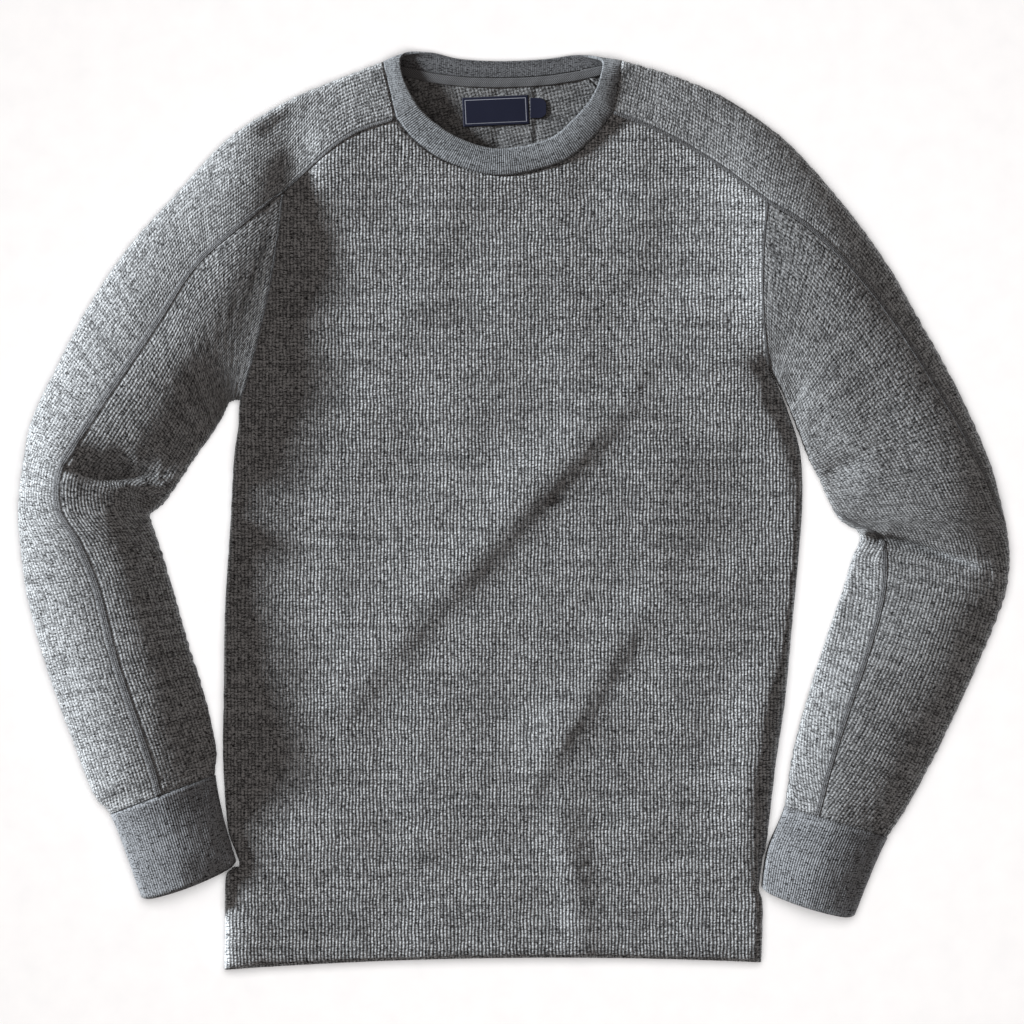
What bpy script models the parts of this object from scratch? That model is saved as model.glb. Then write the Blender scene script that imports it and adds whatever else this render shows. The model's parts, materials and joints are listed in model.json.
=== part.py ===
"""Long-sleeved thermal top with a rib collar and rib cuffs, laid flat on its back.

+Z is up and +Y runs towards the neck.  The tables are in millimetres and the meshes in metres.
The origin is under the middle of the garment, on the surface that it lies on.

Every knit panel lies on one common surface: an upper side, whose height is worked out from the
distance to the nearest folded edge, and an underside that rests on the floor.  A panel takes its
outline from the section tables, its height from that surface and its thickness from the wall.
"""

import math

import bmesh
import bpy
import numpy as np

COLLECTION = "thermal_top"
MM = 0.001
CENTRE = (0.935, 0.335)     # middle of the finished garment in the tables' millimetres

# Driving dimensions, in millimetres
WALL = 2.2                  # waffle knit and rib, uncompressed
SEAM_GAP = 0.3              # space left between two sewn pieces
EDGE_LEVEL = 4.2            # height of the outermost line of a folded edge
EDGE_ROLL = 4.6             # radius of the upper half of that fold
SWELL_REACH = 52.0          # distance over which the cloth rises from a fold to its crown
SWELL_POWER = 2.3           # how soon it gets there
LOWEST_TOP = 2 * WALL + 1.3  # the upper layer presses no lower than this
RELIEF_FADE = 14.0          # folds die out this close to a folded edge
SLOPE_STEP = 1e-6           # step in a panel's own coordinates for its slopes

# Steps across a panel, 0 to 1: close together where a side rolls over
SADDLE_STEPS = (0.0, 0.02, 0.07, 0.16, 0.3, 0.5, 0.75, 1.0)
ARMHOLE_PARTS = 5           # parts of an armhole, on every panel that meets it
SIDE_PARTS = 28             # parts of the body's side seams
NECK_FRONT_PARTS = 18       # parts of the front and back necklines
NECK_BACK_PARTS = 12
SADDLE_PARTS = 4            # parts of a saddle panel across, on each layer
COLLAR_PARTS = 4            # parts of the collar band from seam to edge
CUFF_PARTS = 24             # parts around a cuff


def table(columns, *rows):
    """Give a table's rows as named columns."""
    names = columns.split()
    return {name: np.array([row[i] for row in rows]) for i, name in enumerate(names)}


# Sections of a sleeve, from the collar to the end of the cuff.  A section runs from the outer
# folded edge to the inner one.  Until the shoulder the inner point is only what the section
# aims at.  bow bends a section sideways.  front_seam and back_seam are counted round the
# sleeve from the outer edge: 0 to 1 over the top, 1 to 2 back underneath, below 0 underneath.
SECTION_COLUMNS = "station outer_x outer_y inner_x inner_y bow front_seam back_seam"

LEFT_SLEEVE = table(
    SECTION_COLUMNS,
    ("collar", -103.5, 359.5, -68, 210, 0, 0.30, 1.70),
    ("neck_side", -141, 345, -116, 191, 0, 0.30, 1.70),
    ("shoulder", -181, 327.5, -218, 89, 9.6, 0.30, 1.70),
    ("cap", -227, 298, -226.5, 86.5, 4, 0.35, 1.66),
    ("upper_arm", -266, 257, -231.5, 76, 0, 0.34, 1.66),
    ("biceps", -307.5, 210.5, -239.5, 63, 0, 0.38, 1.66),
    ("mid_arm", -340, 162, -251, 47, 0, 0.38, 1.66),
    ("low_arm", -365, 114.5, -264.5, 27, 0, 0.35, 1.66),
    ("above_elbow", -384.5, 73, -277, 8.5, 0, 0.32, 1.66),
    ("elbow_in", -391.5, 39, -284.5, 1.5, 0, 0.27, 1.66),
    ("elbow", -395.5, 4, -290, -4, 0, 0.31, 1.66),
    ("elbow_out", -393.5, -31, -285, -19.5, 0, 0.43, 1.62),
    ("forearm", -387.5, -71.5, -274, -54.5, 0, 0.49, 1.58),
    ("mid_forearm", -372.5, -126, -259, -107, 0, 0.48, 1.55),
    ("low_forearm", -353.5, -179.5, -245.5, -150.5, 0, 0.48, 1.55),
    ("wrist", -335, -226.5, -237, -191, 0, 0.49, 1.55),
    ("cuff_seam", -321.5, -243, -237.5, -211, 0, 0.47, 1.55),
    ("cuff_middle", -308, -277, -231, -246, -1.6, 0.47, 1.55),
    ("cuff_end", -296, -312, -220, -283, -3.2, 0.47, 1.55),
)

RIGHT_SLEEVE = table(
    SECTION_COLUMNS,
    ("collar", 87.5, 360.5, 63, 223, 0, 0.30, 1.70),
    ("neck_side", 128, 348.5, 109, 193, 0, 0.30, 1.70),
    ("yoke", 170, 330.5, 156, 150, 0, 0.30, 1.70),
    ("shoulder", 214.5, 299.5, 206, 113, -9.6, 0.28, 1.70),
    ("cap", 244.5, 269, 209.5, 106, -4.8, 0.24, 1.68),
    ("upper_arm", 274.5, 233, 215, 96, 0, 0.21, 1.63),
    ("biceps", 302, 194, 222, 80, 0, 0.17, 1.57),
    ("mid_arm", 325.5, 152.5, 229.5, 61, 0, 0.13, 1.46),
    ("low_arm", 348.5, 112, 236.5, 43, 0, 0.11, 1.32),
    ("above_elbow", 370, 68, 245, 26.5, 0, 0.08, 1.17),
    ("elbow_in", 384.5, 31, 252, 10.5, 0, 0.05, 1.05),
    ("elbow", 393, -3, 262, -7, 0, 0.01, 0.96),
    ("elbow_fold", 397.5, -31, 278, -19, 0, -0.05, 0.87),
    ("elbow_out", 395, -63.5, 272, -37.5, 0, -0.10, 0.79),
    ("forearm", 382, -99.5, 264, -64, 0, -0.14, 0.74),
    ("mid_forearm", 363, -143, 250.5, -103.5, 0, -0.17, 0.71),
    ("low_forearm", 339, -193.5, 236, -149, 0, -0.18, 0.70),
    ("wrist", 317, -234.5, 224, -195, 0, -0.18, 0.69),
    ("cuff_seam", 300, -261.5, 217.5, -236, 0, -0.18, 0.69),
    ("cuff_middle", 286.5, -291, 203.5, -270.5, 1.4, -0.18, 0.69),
    ("cuff_end", 272.5, -326.5, 198.5, -303, 2.8, -0.18, 0.69),
)

# Under the shoulders the saddle panels turn towards the back neck: what their sections aim at
BACK_AIM = {"left": ((20, 331), (-67, 210)), "right": ((-23, 334), (49, 210), (128, 143))}

# The two side folds of the body, from the hem to the underarms.  The cuffs press into them.
BODY_SIDES = table(
    "left_x left_y right_x right_y",
    (-230.5, -367, 199, -361),
    (-230, -338, 200, -334),
    (-230, -310, 200, -313),
    (-227.5, -295, 196.5, -303),
    (-216.5, -283, 195, -292),
    (-222, -270, 197.5, -279),
    (-228.5, -251, 202.5, -262),
    (-231.5, -199, 210.5, -203),
    (-231, -143, 218, -152),
    (-230, -79, 223.5, -93),
    (-226, -15, 229, -35),
    (-223, 40, 232, 12),
    (-219.5, 66, 229.5, 50),
    (-219, 79, 218, 86),
    (-218, 89, 206, 113),
)
HEM_BOW = 6.4               # the hem's middle lies this much higher than its ends

# Where the neck seams run between the saddle seams, from left to right
NECK_FRONT = table(
    "x y",
    (-78.4, 297.2), (-51.8, 279.2), (-10.0, 268.4), (37.5, 278.4), (64.0, 298.2),
)
NECK_BACK = table(
    "x y",
    (-42.0, 347.8), (-10.0, 346.7), (25.0, 348.3),
)

# The free edge of the collar band, once round from the left saddle seam over the front.
# It stands higher than the seam in front and lies low behind; arch is how far the band
# swells between seam and edge.
COLLAR_EDGE = table(
    "place x y z arch",
    ("left_saddle", -76.4, 325.6, 15.5, 1.2),
    ("left_front", -62.8, 311.2, 15.5, 1.2),
    ("left_middle", -40.4, 297.2, 15.0, 1.2),
    ("middle_front", -10.0, 289.8, 15.0, 1.2),
    ("right_middle", 28.4, 297.6, 15.0, 1.2),
    ("right_front", 49.2, 314.1, 15.5, 1.2),
    ("right_saddle", 62.8, 330.4, 15.5, 1.2),
    ("right_side", 70.0, 347.0, 14.5, 1.0),
    ("right_crease", 70.5, 361.5, 8.5, 0.6),
    ("right_back", 53.0, 365.0, 1.5, 0.0),
    ("back_right", 25.0, 361.5, 1.0, 0.0),
    ("middle_back", -10.0, 360.0, 1.0, 0.0),
    ("back_left", -42.0, 361.8, 1.0, 0.0),
    ("left_back", -66.0, 367.0, 1.5, 0.0),
    ("left_crease", -87.5, 365.5, 8.5, 0.6),
    ("left_side", -87.8, 348.0, 14.5, 1.0),
)

# How high the upper layer stands, by place; it blends smoothly between them
CROWNS = table(
    "place x y crown reach",
    ("chest", -10, 170, 11.2, 120),
    ("waist", -10, -50, 11.0, 120),
    ("hem", -10, -360, 9.8, 110),
    ("neck", -10, 290, 12.0, 80),
    ("left_chest", -140, 180, 9.8, 50),
    ("left_waist", -185, 0, 9.6, 60),
    ("left_hem", -190, -220, 9.6, 60),
    ("left_saddle", -120, 315, 13.5, 40),
    ("left_cap", -225, 235, 26.0, 36),
    ("left_biceps", -275, 160, 31.0, 40),
    ("left_low_arm", -320, 80, 31.0, 40),
    ("left_elbow", -342, 0, 30.0, 40),
    ("left_forearm", -330, -80, 31.0, 40),
    ("left_wrist", -300, -165, 30.0, 40),
    ("left_cuff", -272, -250, 22.0, 36),
    ("left_hand", -260, -305, 17.0, 30),
    ("right_saddle", 130, 305, 13.5, 45),
    ("right_cap", 235, 215, 21.0, 38),
    ("right_biceps", 272, 145, 24.0, 40),
    ("right_low_arm", 300, 80, 25.0, 40),
    ("right_elbow", 328, 0, 26.0, 40),
    ("right_forearm", 330, -80, 26.0, 40),
    ("right_wrist", 290, -175, 25.0, 40),
    ("right_cuff", 250, -265, 20.0, 36),
    ("right_hand", 238, -315, 16.0, 30),
)

# The largest folds of the upper layer, each along a curve through three points.  height is
# negative for a crease; above and below are its half-widths on its two sides.
FOLDS = table(
    "fold start_x start_y middle_x middle_y end_x end_y height above below",
    ("body_long", 92, 90, 5, 0, -130, -148, 4.6, 22, 15),
    ("body_low", 114, -66, 62, -143, 0, -244, 3.4, 18, 13),
    ("hem_wave", 38, -240, 48, -290, 56, -362, 3.6, 15, 12),
    ("body_faint", -26, -240, -66, -262, -100, -282, 1.6, 18, 14),
    ("left_elbow", -360, 34, -322, 28, -286, 22, -13.0, 30, 9),
    ("left_pucker", -306, 24, -298, 12, -290, 3, -5.0, 9, 8),
    ("right_elbow", 298, -22, 325, -28, 370, -44, -7.0, 12, 26),
    ("right_armpit", 246, 28, 262, 34, 280, 42, -3.0, 9, 9),
)
FOLD_SAMPLES = 25

# Trim on the inside of the back neck
TAPE_WIDTH = 8.0
TAPE_THICKNESS = 1.0
TAPE_PARTS = 20
LABEL_SIZE = (53.0, 23.5, 0.7)
LABEL_CENTRE = (-13.4, 320.2)
LABEL_TILT = math.radians(2.6)
TAB_SIZE = (13.0, 16.4, 0.7)
TAB_LEFT = (14.2, 322.4)
TAB_ROUND = 6.0
TAB_ROUND_PARTS = 5

# Colour (linear), roughness
FINISHES = {
    "waffle_knit": ((0.150, 0.158, 0.165, 1.0), 0.95),
    "rib_knit": ((0.185, 0.195, 0.210, 1.0), 0.92),
    "neck_tape": ((0.120, 0.122, 0.125, 1.0), 0.90),
    "woven_label": ((0.012, 0.016, 0.040, 1.0), 0.70),
}


# ---------------------------------------------------------------------------------- curves

def curve(columns, t):
    """Read a smooth curve through a table's columns at t, counted in rows."""
    points = np.stack([np.asarray(c, float) for c in columns], axis=-1)
    last = len(points) - 1
    padded = np.vstack([2 * points[0] - points[1], points, 2 * points[-1] - points[-2]])
    t = np.clip(np.asarray(t, float), 0, last)
    i = np.minimum(t.astype(int), last - 1)
    f = (t - i)[..., None]
    p0, p1, p2, p3 = (padded[i + k] for k in range(4))
    return 0.5 * (2 * p1 + (p2 - p0) * f + (2 * p0 - 5 * p1 + 4 * p2 - p3) * f ** 2
                  + (3 * p1 - p0 - 3 * p2 + p3) * f ** 3)


def closed_curve(columns, t):
    """Read a smooth closed curve through a table's columns at t, counted in rows."""
    count = len(columns[0])
    wrapped = [np.concatenate([c[-2:], c, c[:3]]).astype(float) for c in columns]
    return curve(wrapped, np.mod(t, count) + 2)


def turn(seam):
    """Turn a place counted round a sleeve (0, 1, 2) into an angle (0, pi, 2 pi)."""
    seam = np.asarray(seam, float)
    whole = np.floor(seam)
    part = seam - whole
    odd = np.mod(whole, 2) == 1
    angle = np.arccos(1 - 2 * np.where(odd, 1 - part, part))
    return whole * math.pi + np.where(odd, math.pi - angle, angle)


# --------------------------------------------------------------------------------- sleeves

class Sleeve:
    """One sleeve's plan: sections across it, read at any station and angle round it."""

    def __init__(self, rows, side):
        self.rows = rows
        names = list(rows["station"])
        self.shoulder = names.index("shoulder")
        self.cuff = names.index("cuff_seam")
        self.end = len(names) - 1
        aims = np.stack([rows["inner_x"], rows["inner_y"]], axis=-1).astype(float)
        self.front_aims = aims[:self.shoulder + 1]
        self.fold = aims[self.shoulder:]
        self.back_aims = self.front_aims.copy()
        self.back_aims[:len(BACK_AIM[side])] = BACK_AIM[side]

    def outer(self, u):
        return curve((self.rows["outer_x"], self.rows["outer_y"]), u)

    def inner(self, u, layer="front"):
        """The inner fold from the shoulder on; before it, what the sections aim at."""
        aims = self.front_aims if layer == "front" else self.back_aims
        fold = curve(self.fold.T, u - self.shoulder)
        return np.where((u < self.shoulder)[..., None], curve(aims.T, u), fold)

    def seams(self, u):
        """Angles of the front and the back seam at a station."""
        places = curve((self.rows["front_seam"], self.rows["back_seam"]), u)
        return turn(places[..., 0]), turn(places[..., 1])

    def plan(self, u, angle):
        """Plan place at a station and an angle; the underside has its own aim near the neck."""
        under = (np.sin(angle) < 0)[..., None]
        outer = self.outer(u)
        across = np.where(under, self.inner(u, "back"), self.inner(u)) - outer
        f = ((1 - np.cos(angle)) / 2)[..., None]
        bow = curve((self.rows["bow"],), u) * 4 * f * (1 - f)
        length = np.linalg.norm(across, axis=-1, keepdims=True)
        sideways = np.stack([-across[..., 1], across[..., 0]], axis=-1) / length
        return outer + across * f + sideways * bow

    def point(self, u, angle):
        """Place on the outer surface of the cloth, over the top or underneath."""
        place = self.plan(u, angle)
        over = np.sin(angle) >= 0
        height = np.where(over, top_height(place), bottom_height(place))
        return np.concatenate([place, height[..., None]], axis=-1)


SLEEVES = {"left": Sleeve(LEFT_SLEEVE, "left"), "right": Sleeve(RIGHT_SLEEVE, "right")}


# ---------------------------------------------------------------- the surface of the cloth

def folded_edges():
    """Ends of the short straight parts of every folded edge, seen from above."""
    lines = []
    for sleeve in SLEEVES.values():
        stations = np.linspace(0, sleeve.end, 8 * sleeve.end + 1)
        lines.append(sleeve.outer(stations))
        lines.append(sleeve.inner(stations[8 * sleeve.shoulder:]))
    heights = np.linspace(0, 1, 4 * SIDE_PARTS + 1)
    lines += [body_side("left", heights), body_side("right", heights)]
    starts = np.vstack([line[:-1] for line in lines])
    ends = np.vstack([line[1:] for line in lines])
    return starts, ends


def body_side(side, t):
    """One side fold of the body, 0 at the hem and 1 at the underarm."""
    rows = len(BODY_SIDES["left_x"]) - 1
    return curve((BODY_SIDES[side + "_x"], BODY_SIDES[side + "_y"]), np.asarray(t) * rows)


def edge_distance(place):
    """Distance in plan from the nearest folded edge."""
    flat = place.reshape(-1, 2)
    starts, ends = EDGES
    along = ends - starts
    squares = np.maximum((along ** 2).sum(-1), 1e-9)
    nearest = np.full(len(flat), 1e9)
    for first in range(0, len(flat), 4096):
        part = flat[first:first + 4096, None, :] - starts[None]
        share = np.clip((part * along[None]).sum(-1) / squares, 0, 1)
        gaps = part - share[..., None] * along[None]
        nearest[first:first + 4096] = np.sqrt((gaps ** 2).sum(-1).min(-1))
    return nearest.reshape(place.shape[:-1])


def quarter_round(d, radius):
    """Rise of a quarter circle at a distance in from its vertical side, 0 to 1."""
    inward = 1 - np.clip(d / radius, 0, 1)
    return np.sqrt(np.maximum(1 - inward ** 2, 0))


def crown(place):
    """Height of the upper layer away from its folded edges."""
    x, y = place[..., 0], place[..., 1]
    total = np.zeros_like(x)
    weights = np.full_like(x, 1e-9)
    for i, height in enumerate(CROWNS["crown"]):
        gap = (x - CROWNS["x"][i]) ** 2 + (y - CROWNS["y"][i]) ** 2
        weight = np.exp(-gap / (2 * CROWNS["reach"][i] ** 2))
        total += weight * height
        weights += weight
    return total / weights


def fold_curve(i):
    """Points along a fold, bent through its three named points."""
    names = ("start", "middle", "end")
    rows = [np.array([FOLDS[name + "_x"][i], FOLDS[name + "_y"][i]], float) for name in names]
    return curve((np.array(rows)[:, 0], np.array(rows)[:, 1]), np.linspace(0, 2, FOLD_SAMPLES))


def relief(place):
    """Rise of the largest folds, and fall of the creases."""
    flat = place.reshape(-1, 2)
    total = np.zeros(len(flat))
    for i, height in enumerate(FOLDS["height"]):
        line = fold_curve(i)
        gaps = flat[:, None, :] - line[None]
        nearest = (gaps ** 2).sum(-1).argmin(-1)
        tangent = np.gradient(line, axis=0)[nearest]
        gap = flat - line[nearest]
        side = tangent[:, 0] * gap[:, 1] - tangent[:, 1] * gap[:, 0]
        upward = side * np.where(tangent[:, 0] < 0, -1, 1) > 0
        width = np.where(upward, FOLDS["above"][i], FOLDS["below"][i])
        taper = np.sin(math.pi * np.linspace(0.06, 0.94, FOLD_SAMPLES))[nearest] ** 0.6
        total += height * taper * np.exp(-(gap ** 2).sum(-1) / width ** 2)
    return total.reshape(place.shape[:-1])


def top_height(place):
    """Height of the upper layer's outer face."""
    d = edge_distance(place)
    swell = 1 - (1 - np.clip(d / SWELL_REACH, 0, 1)) ** SWELL_POWER
    base = (EDGE_LEVEL + EDGE_ROLL * quarter_round(d, EDGE_ROLL)
            + (crown(place) - EDGE_LEVEL - EDGE_ROLL) * swell)
    folded = base + relief(place) * np.clip(d / RELIEF_FADE, 0, 1)
    return np.where(base > LOWEST_TOP, np.maximum(folded, LOWEST_TOP), base)


def bottom_height(place):
    """Height of the lower layer's outer face: the floor, but for the rolled edges."""
    return EDGE_LEVEL * (1 - quarter_round(edge_distance(place), EDGE_LEVEL))


EDGES = folded_edges()


# ------------------------------------------------------------------------------------ body

def hem(s):
    """The hem in plan, 0 at the left side and 1 at the right."""
    left, right = body_side("left", 0.0), body_side("right", 0.0)
    s = np.asarray(s, float)[..., None]
    return left + (right - left) * s + np.array([0, HEM_BOW]) * 4 * s * (1 - s)


def armhole(side, layer, t):
    """An armhole in plan, 0 at the underarm and 1 where it meets the saddle seam."""
    sleeve = SLEEVES[side]
    station = np.full_like(np.asarray(t, float), sleeve.shoulder)
    front, back = sleeve.seams(station)
    seam = front if layer == "top" else back
    return sleeve.plan(station, math.pi + (seam - math.pi) * t)


def saddle_seam(side, layer, t):
    """A saddle seam in plan, 0 at the armhole and 1 at the collar."""
    sleeve = SLEEVES[side]
    station = sleeve.shoulder * (1 - np.asarray(t, float))
    front, back = sleeve.seams(station)
    return sleeve.plan(station, front if layer == "top" else back)


def neckline(layer, t):
    """The front or back neck seam in plan, 0 at the left and 1 at the right."""
    rows = NECK_FRONT if layer == "top" else NECK_BACK
    middle = np.stack([rows["x"], rows["y"]], axis=-1)
    ends = [saddle_seam(side, layer, 1.0)[None] for side in SLEEVES]
    points = np.vstack([ends[0], middle, ends[1]])
    return curve(points.T, np.asarray(t) * (len(points) - 1))


class BodyPanel:
    """The front or back panel: a patch between hem, sides, armholes, saddle seams and neck."""

    def __init__(self, layer, neck_parts):
        self.layer = layer
        steps = np.array(SADDLE_STEPS)
        columns = 2 * (len(steps) - 1) + neck_parts
        self.shoulder_share = (len(steps) - 1) / columns
        inner = np.linspace(self.shoulder_share, 1 - self.shoulder_share, neck_parts + 1)
        self.s = np.concatenate([
            steps * self.shoulder_share, inner[1:-1], 1 - steps[::-1] * self.shoulder_share])
        self.side_share = SIDE_PARTS / (SIDE_PARTS + ARMHOLE_PARTS)
        self.v = np.linspace(0, 1, SIDE_PARTS + ARMHOLE_PARTS + 1)

    def side(self, side, v):
        share = self.side_share
        below = body_side(side, np.clip(v / share, 0, 1))
        above = armhole(side, self.layer, np.clip((v - share) / (1 - share), 0, 1))
        return np.where((v <= share)[..., None], below, above)

    def top(self, s):
        share = self.shoulder_share
        left = saddle_seam("left", self.layer, np.clip(s / share, 0, 1))
        right = saddle_seam("right", self.layer, np.clip((1 - s) / share, 0, 1))
        neck = neckline(self.layer, np.clip((s - share) / (1 - 2 * share), 0, 1))
        ends = np.where((s < 0.5)[..., None], left, right)
        return np.where(((s >= share) & (s <= 1 - share))[..., None], neck, ends)

    def plan(self, s, v):
        """Blend the four sides of the patch."""
        zero, one = np.zeros_like(s), np.ones_like(s)
        a, b = s[..., None], v[..., None]
        left, right = self.side("left", v), self.side("right", v)
        corners = ((1 - a) * (1 - b) * hem(zero) + a * (1 - b) * hem(one)
                   + (1 - a) * b * self.top(zero) + a * b * self.top(one))
        return (1 - b) * hem(s) + b * self.top(s) + (1 - a) * left + a * right - corners

    def point(self, v, s):
        place = self.plan(np.clip(s, 0, 1), np.clip(v, 0, 1))
        height = top_height(place) if self.layer == "top" else bottom_height(place)
        return np.concatenate([place, height[..., None]], axis=-1)


# ---------------------------------------------------------------------- walls and meshes

class Wall:
    """A grid of outer and inner points: the two faces of one piece of cloth."""

    def __init__(self, outer, inner):
        self.outer = outer
        self.inner = inner

    def edge(self, side):
        """The first or last row, or the first or last column."""
        pick = {"first_row": np.s_[0], "last_row": np.s_[-1],
                "first_column": np.s_[:, 0], "last_column": np.s_[:, -1]}[side]
        return self.outer[pick], self.inner[pick]

    def pull_back(self, *sides):
        """Draw edges in by half a seam gap, square to the seam."""
        for side in sides:
            for grid in (self.outer, self.inner):
                rows = grid if side.endswith("row") else np.swapaxes(grid, 0, 1)
                first, second = (0, 1) if side.startswith("first") else (-1, -2)
                step = rows[second] - rows[first]
                tangent = np.gradient(rows[first], axis=0)
                tangent /= np.linalg.norm(tangent, axis=-1, keepdims=True) + 1e-9
                step -= (step * tangent).sum(-1, keepdims=True) * tangent
                step /= np.linalg.norm(step, axis=-1, keepdims=True) + 1e-9
                rows[first] += step * SEAM_GAP / 2
                rows[first, :, 2] = np.maximum(rows[first, :, 2], 0)
        return self


def outward(point, a, b, flip):
    """Unit normals of a surface, from small steps in its own two coordinates."""
    low_a, high_a = a - SLOPE_STEP, a + SLOPE_STEP
    low_b, high_b = b - SLOPE_STEP, b + SLOPE_STEP
    along = point(high_a, b) - point(low_a, b)
    across = point(a, high_b) - point(a, low_b)
    normal = np.cross(along, across) * (-1 if flip else 1)
    return normal / (np.linalg.norm(normal, axis=-1, keepdims=True) + 1e-12)


def wall_of(point, a, b, flip):
    """Make a wall from a surface read at a grid of its coordinates."""
    outer = point(a, b)
    return Wall(outer, outer - WALL * outward(point, a, b, flip))


def mesh_of(name, wall, finish, closed=False):
    """Build a closed mesh from a wall; a closed one joins its last column to its first."""
    rows, columns = wall.outer.shape[:2]
    grid = bmesh.new()
    layers = []
    for points in (wall.outer, wall.inner):
        points = (points - (*CENTRE, 0)) * MM
        layers.append([[grid.verts.new(points[i, j]) for j in range(columns)]
                       for i in range(rows)])
    outer, inner = layers
    span = columns if closed else columns - 1
    for i in range(rows - 1):
        for j in range(span):
            k = (j + 1) % columns
            grid.faces.new((outer[i][j], outer[i][k], outer[i + 1][k], outer[i + 1][j]))
            grid.faces.new((inner[i][j], inner[i + 1][j], inner[i + 1][k], inner[i][k]))
    for j in range(span):
        k = (j + 1) % columns
        grid.faces.new((outer[0][k], outer[0][j], inner[0][j], inner[0][k]))
        grid.faces.new((outer[-1][j], outer[-1][k], inner[-1][k], inner[-1][j]))
    if not closed:
        for i in range(rows - 1):
            grid.faces.new((outer[i][0], outer[i + 1][0], inner[i + 1][0], inner[i][0]))
            grid.faces.new((outer[i + 1][-1], outer[i][-1], inner[i][-1], inner[i + 1][-1]))
    bmesh.ops.triangulate(grid, faces=grid.faces, quad_method="SHORT_EDGE")
    bmesh.ops.recalc_face_normals(grid, faces=grid.faces)
    return finish_object(name, grid, finish)


def finish_object(name, grid, finish):
    """Turn a bmesh into a named object with its material, in the garment's collection."""
    mesh = bpy.data.meshes.new(name)
    grid.to_mesh(mesh)
    grid.free()
    mesh.shade_smooth()
    mesh.set_sharp_from_angle(angle=math.radians(50))
    mesh.materials.append(material(name, finish))
    made = bpy.data.objects.new(name, mesh)
    bpy.data.collections[COLLECTION].objects.link(made)
    return made


def material(name, finish):
    """A Principled material of a piece's own."""
    colour, roughness = FINISHES[finish]
    made = bpy.data.materials.new(name)
    made.use_nodes = True
    shader = made.node_tree.nodes["Principled BSDF"]
    shader.inputs["Base Color"].default_value = colour
    shader.inputs["Roughness"].default_value = roughness
    shader.inputs["Metallic"].default_value = 0.0
    return made


# ---------------------------------------------------------------------------------- pieces

def body_wall(layer, neck_parts):
    """The wall of the front or back panel, before its seams are opened."""
    panel = BodyPanel(layer, neck_parts)
    s, v = np.meshgrid(panel.s, panel.v)
    return wall_of(panel.point, v, s, flip=layer == "top")


def arc(start, middle, end, parts):
    """Angles from start by way of middle to end, with the same number of parts in each half."""
    steps = np.linspace(0, 1, parts + 1)
    first = start[:, None] + (middle - start)[:, None] * steps
    second = middle[:, None] + (end - middle)[:, None] * steps
    return np.hstack([first, second[:, 1:]])


def easing(u, start, reach):
    """0 at a station, 1 once it is passed by reach."""
    share = np.clip((u - start) / reach, 0, 1)
    return share * share * (3 - 2 * share)


def saddle_wall(side):
    """Outer sleeve panel: front seam, over the outer fold, to the back seam."""
    sleeve = SLEEVES[side]
    shoulder = sleeve.shoulder * (1 - np.array(SADDLE_STEPS[::-1]))
    below = np.arange(sleeve.shoulder + 0.5, sleeve.cuff + 0.01, 0.5)
    u = np.concatenate([shoulder, below])
    front, back = sleeve.seams(u)
    back = back - 2 * math.pi
    halfway = (front + back) / 2
    crease = halfway * easing(u, sleeve.shoulder + 3, 4)
    angles = arc(front, crease, back, SADDLE_PARTS)
    return wall_of(sleeve.point, np.broadcast_to(u[:, None], angles.shape), angles,
                   flip=side == "right")


def under_wall(side):
    """Under sleeve panel: front seam, over the inner fold, to the back seam."""
    sleeve = SLEEVES[side]
    u = np.arange(sleeve.shoulder, sleeve.cuff + 0.01, 0.5)
    front, back = sleeve.seams(u)
    halfway = (front + back) / 2
    crease = math.pi + (halfway - math.pi) * easing(u, sleeve.shoulder + 1, 4)
    angles = arc(front, crease, back, ARMHOLE_PARTS)
    return wall_of(sleeve.point, np.broadcast_to(u[:, None], angles.shape), angles,
                   flip=side == "right")


def cuff_wall(side):
    """Cuff: a whole ring of rib from the sleeve's end to the hand."""
    sleeve = SLEEVES[side]
    u = np.linspace(sleeve.cuff, sleeve.end, 5)
    angles = np.linspace(0, 2 * math.pi, CUFF_PARTS, endpoint=False)
    u, angles = np.meshgrid(u, angles, indexing="ij")
    return wall_of(sleeve.point, u, angles, flip=side == "right")


def collar_wall(front, back, saddles):
    """Collar band: from the neck edges of the panels it is sewn to, up to its free edge."""
    neck = slice(len(SADDLE_STEPS) - 1, -(len(SADDLE_STEPS) - 1))
    parts = {
        "front": [grid[neck] for grid in front.edge("last_row")],
        "right": [grid for grid in saddles["right"].edge("first_row")],
        "back": [grid[neck][::-1] for grid in back.edge("last_row")],
        "left": [grid[::-1] for grid in saddles["left"].edge("first_row")],
    }
    seam = [np.vstack([parts[name][k][:-1] for name in ("front", "right", "back", "left")])
            for k in (0, 1)]
    stations = np.concatenate([
        np.linspace(0, 6, NECK_FRONT_PARTS + 1)[:-1],
        np.linspace(6, 8, SADDLE_PARTS + 1)[:-1], np.linspace(8, 9, SADDLE_PARTS + 1)[:-1],
        np.linspace(9, 13, NECK_BACK_PARTS + 1)[:-1],
        np.linspace(13, 14, SADDLE_PARTS + 1)[:-1], np.linspace(14, 16, SADDLE_PARTS + 1)[:-1]])
    edge = closed_curve([COLLAR_EDGE[name] for name in "xyz"], stations)
    share = np.linspace(0, 1, COLLAR_PARTS + 1)[:, None, None]
    outer = seam[0] + (edge - seam[0]) * share
    first = seam[0] - seam[1]
    normal = ring_normals(outer)
    normal[0] = first / np.linalg.norm(first, axis=-1, keepdims=True)
    arch = closed_curve([COLLAR_EDGE["arch"]], stations)
    outer = outer + arch * 4 * share * (1 - share) * normal
    return Wall(outer, outer - WALL * normal)


def ring_normals(grid):
    """Unit normals of a grid whose columns close into a ring."""
    along = np.roll(grid, -1, axis=1) - np.roll(grid, 1, axis=1)
    across = np.gradient(grid, axis=0)
    normal = np.cross(along, across)
    return normal / np.linalg.norm(normal, axis=-1, keepdims=True)


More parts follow.
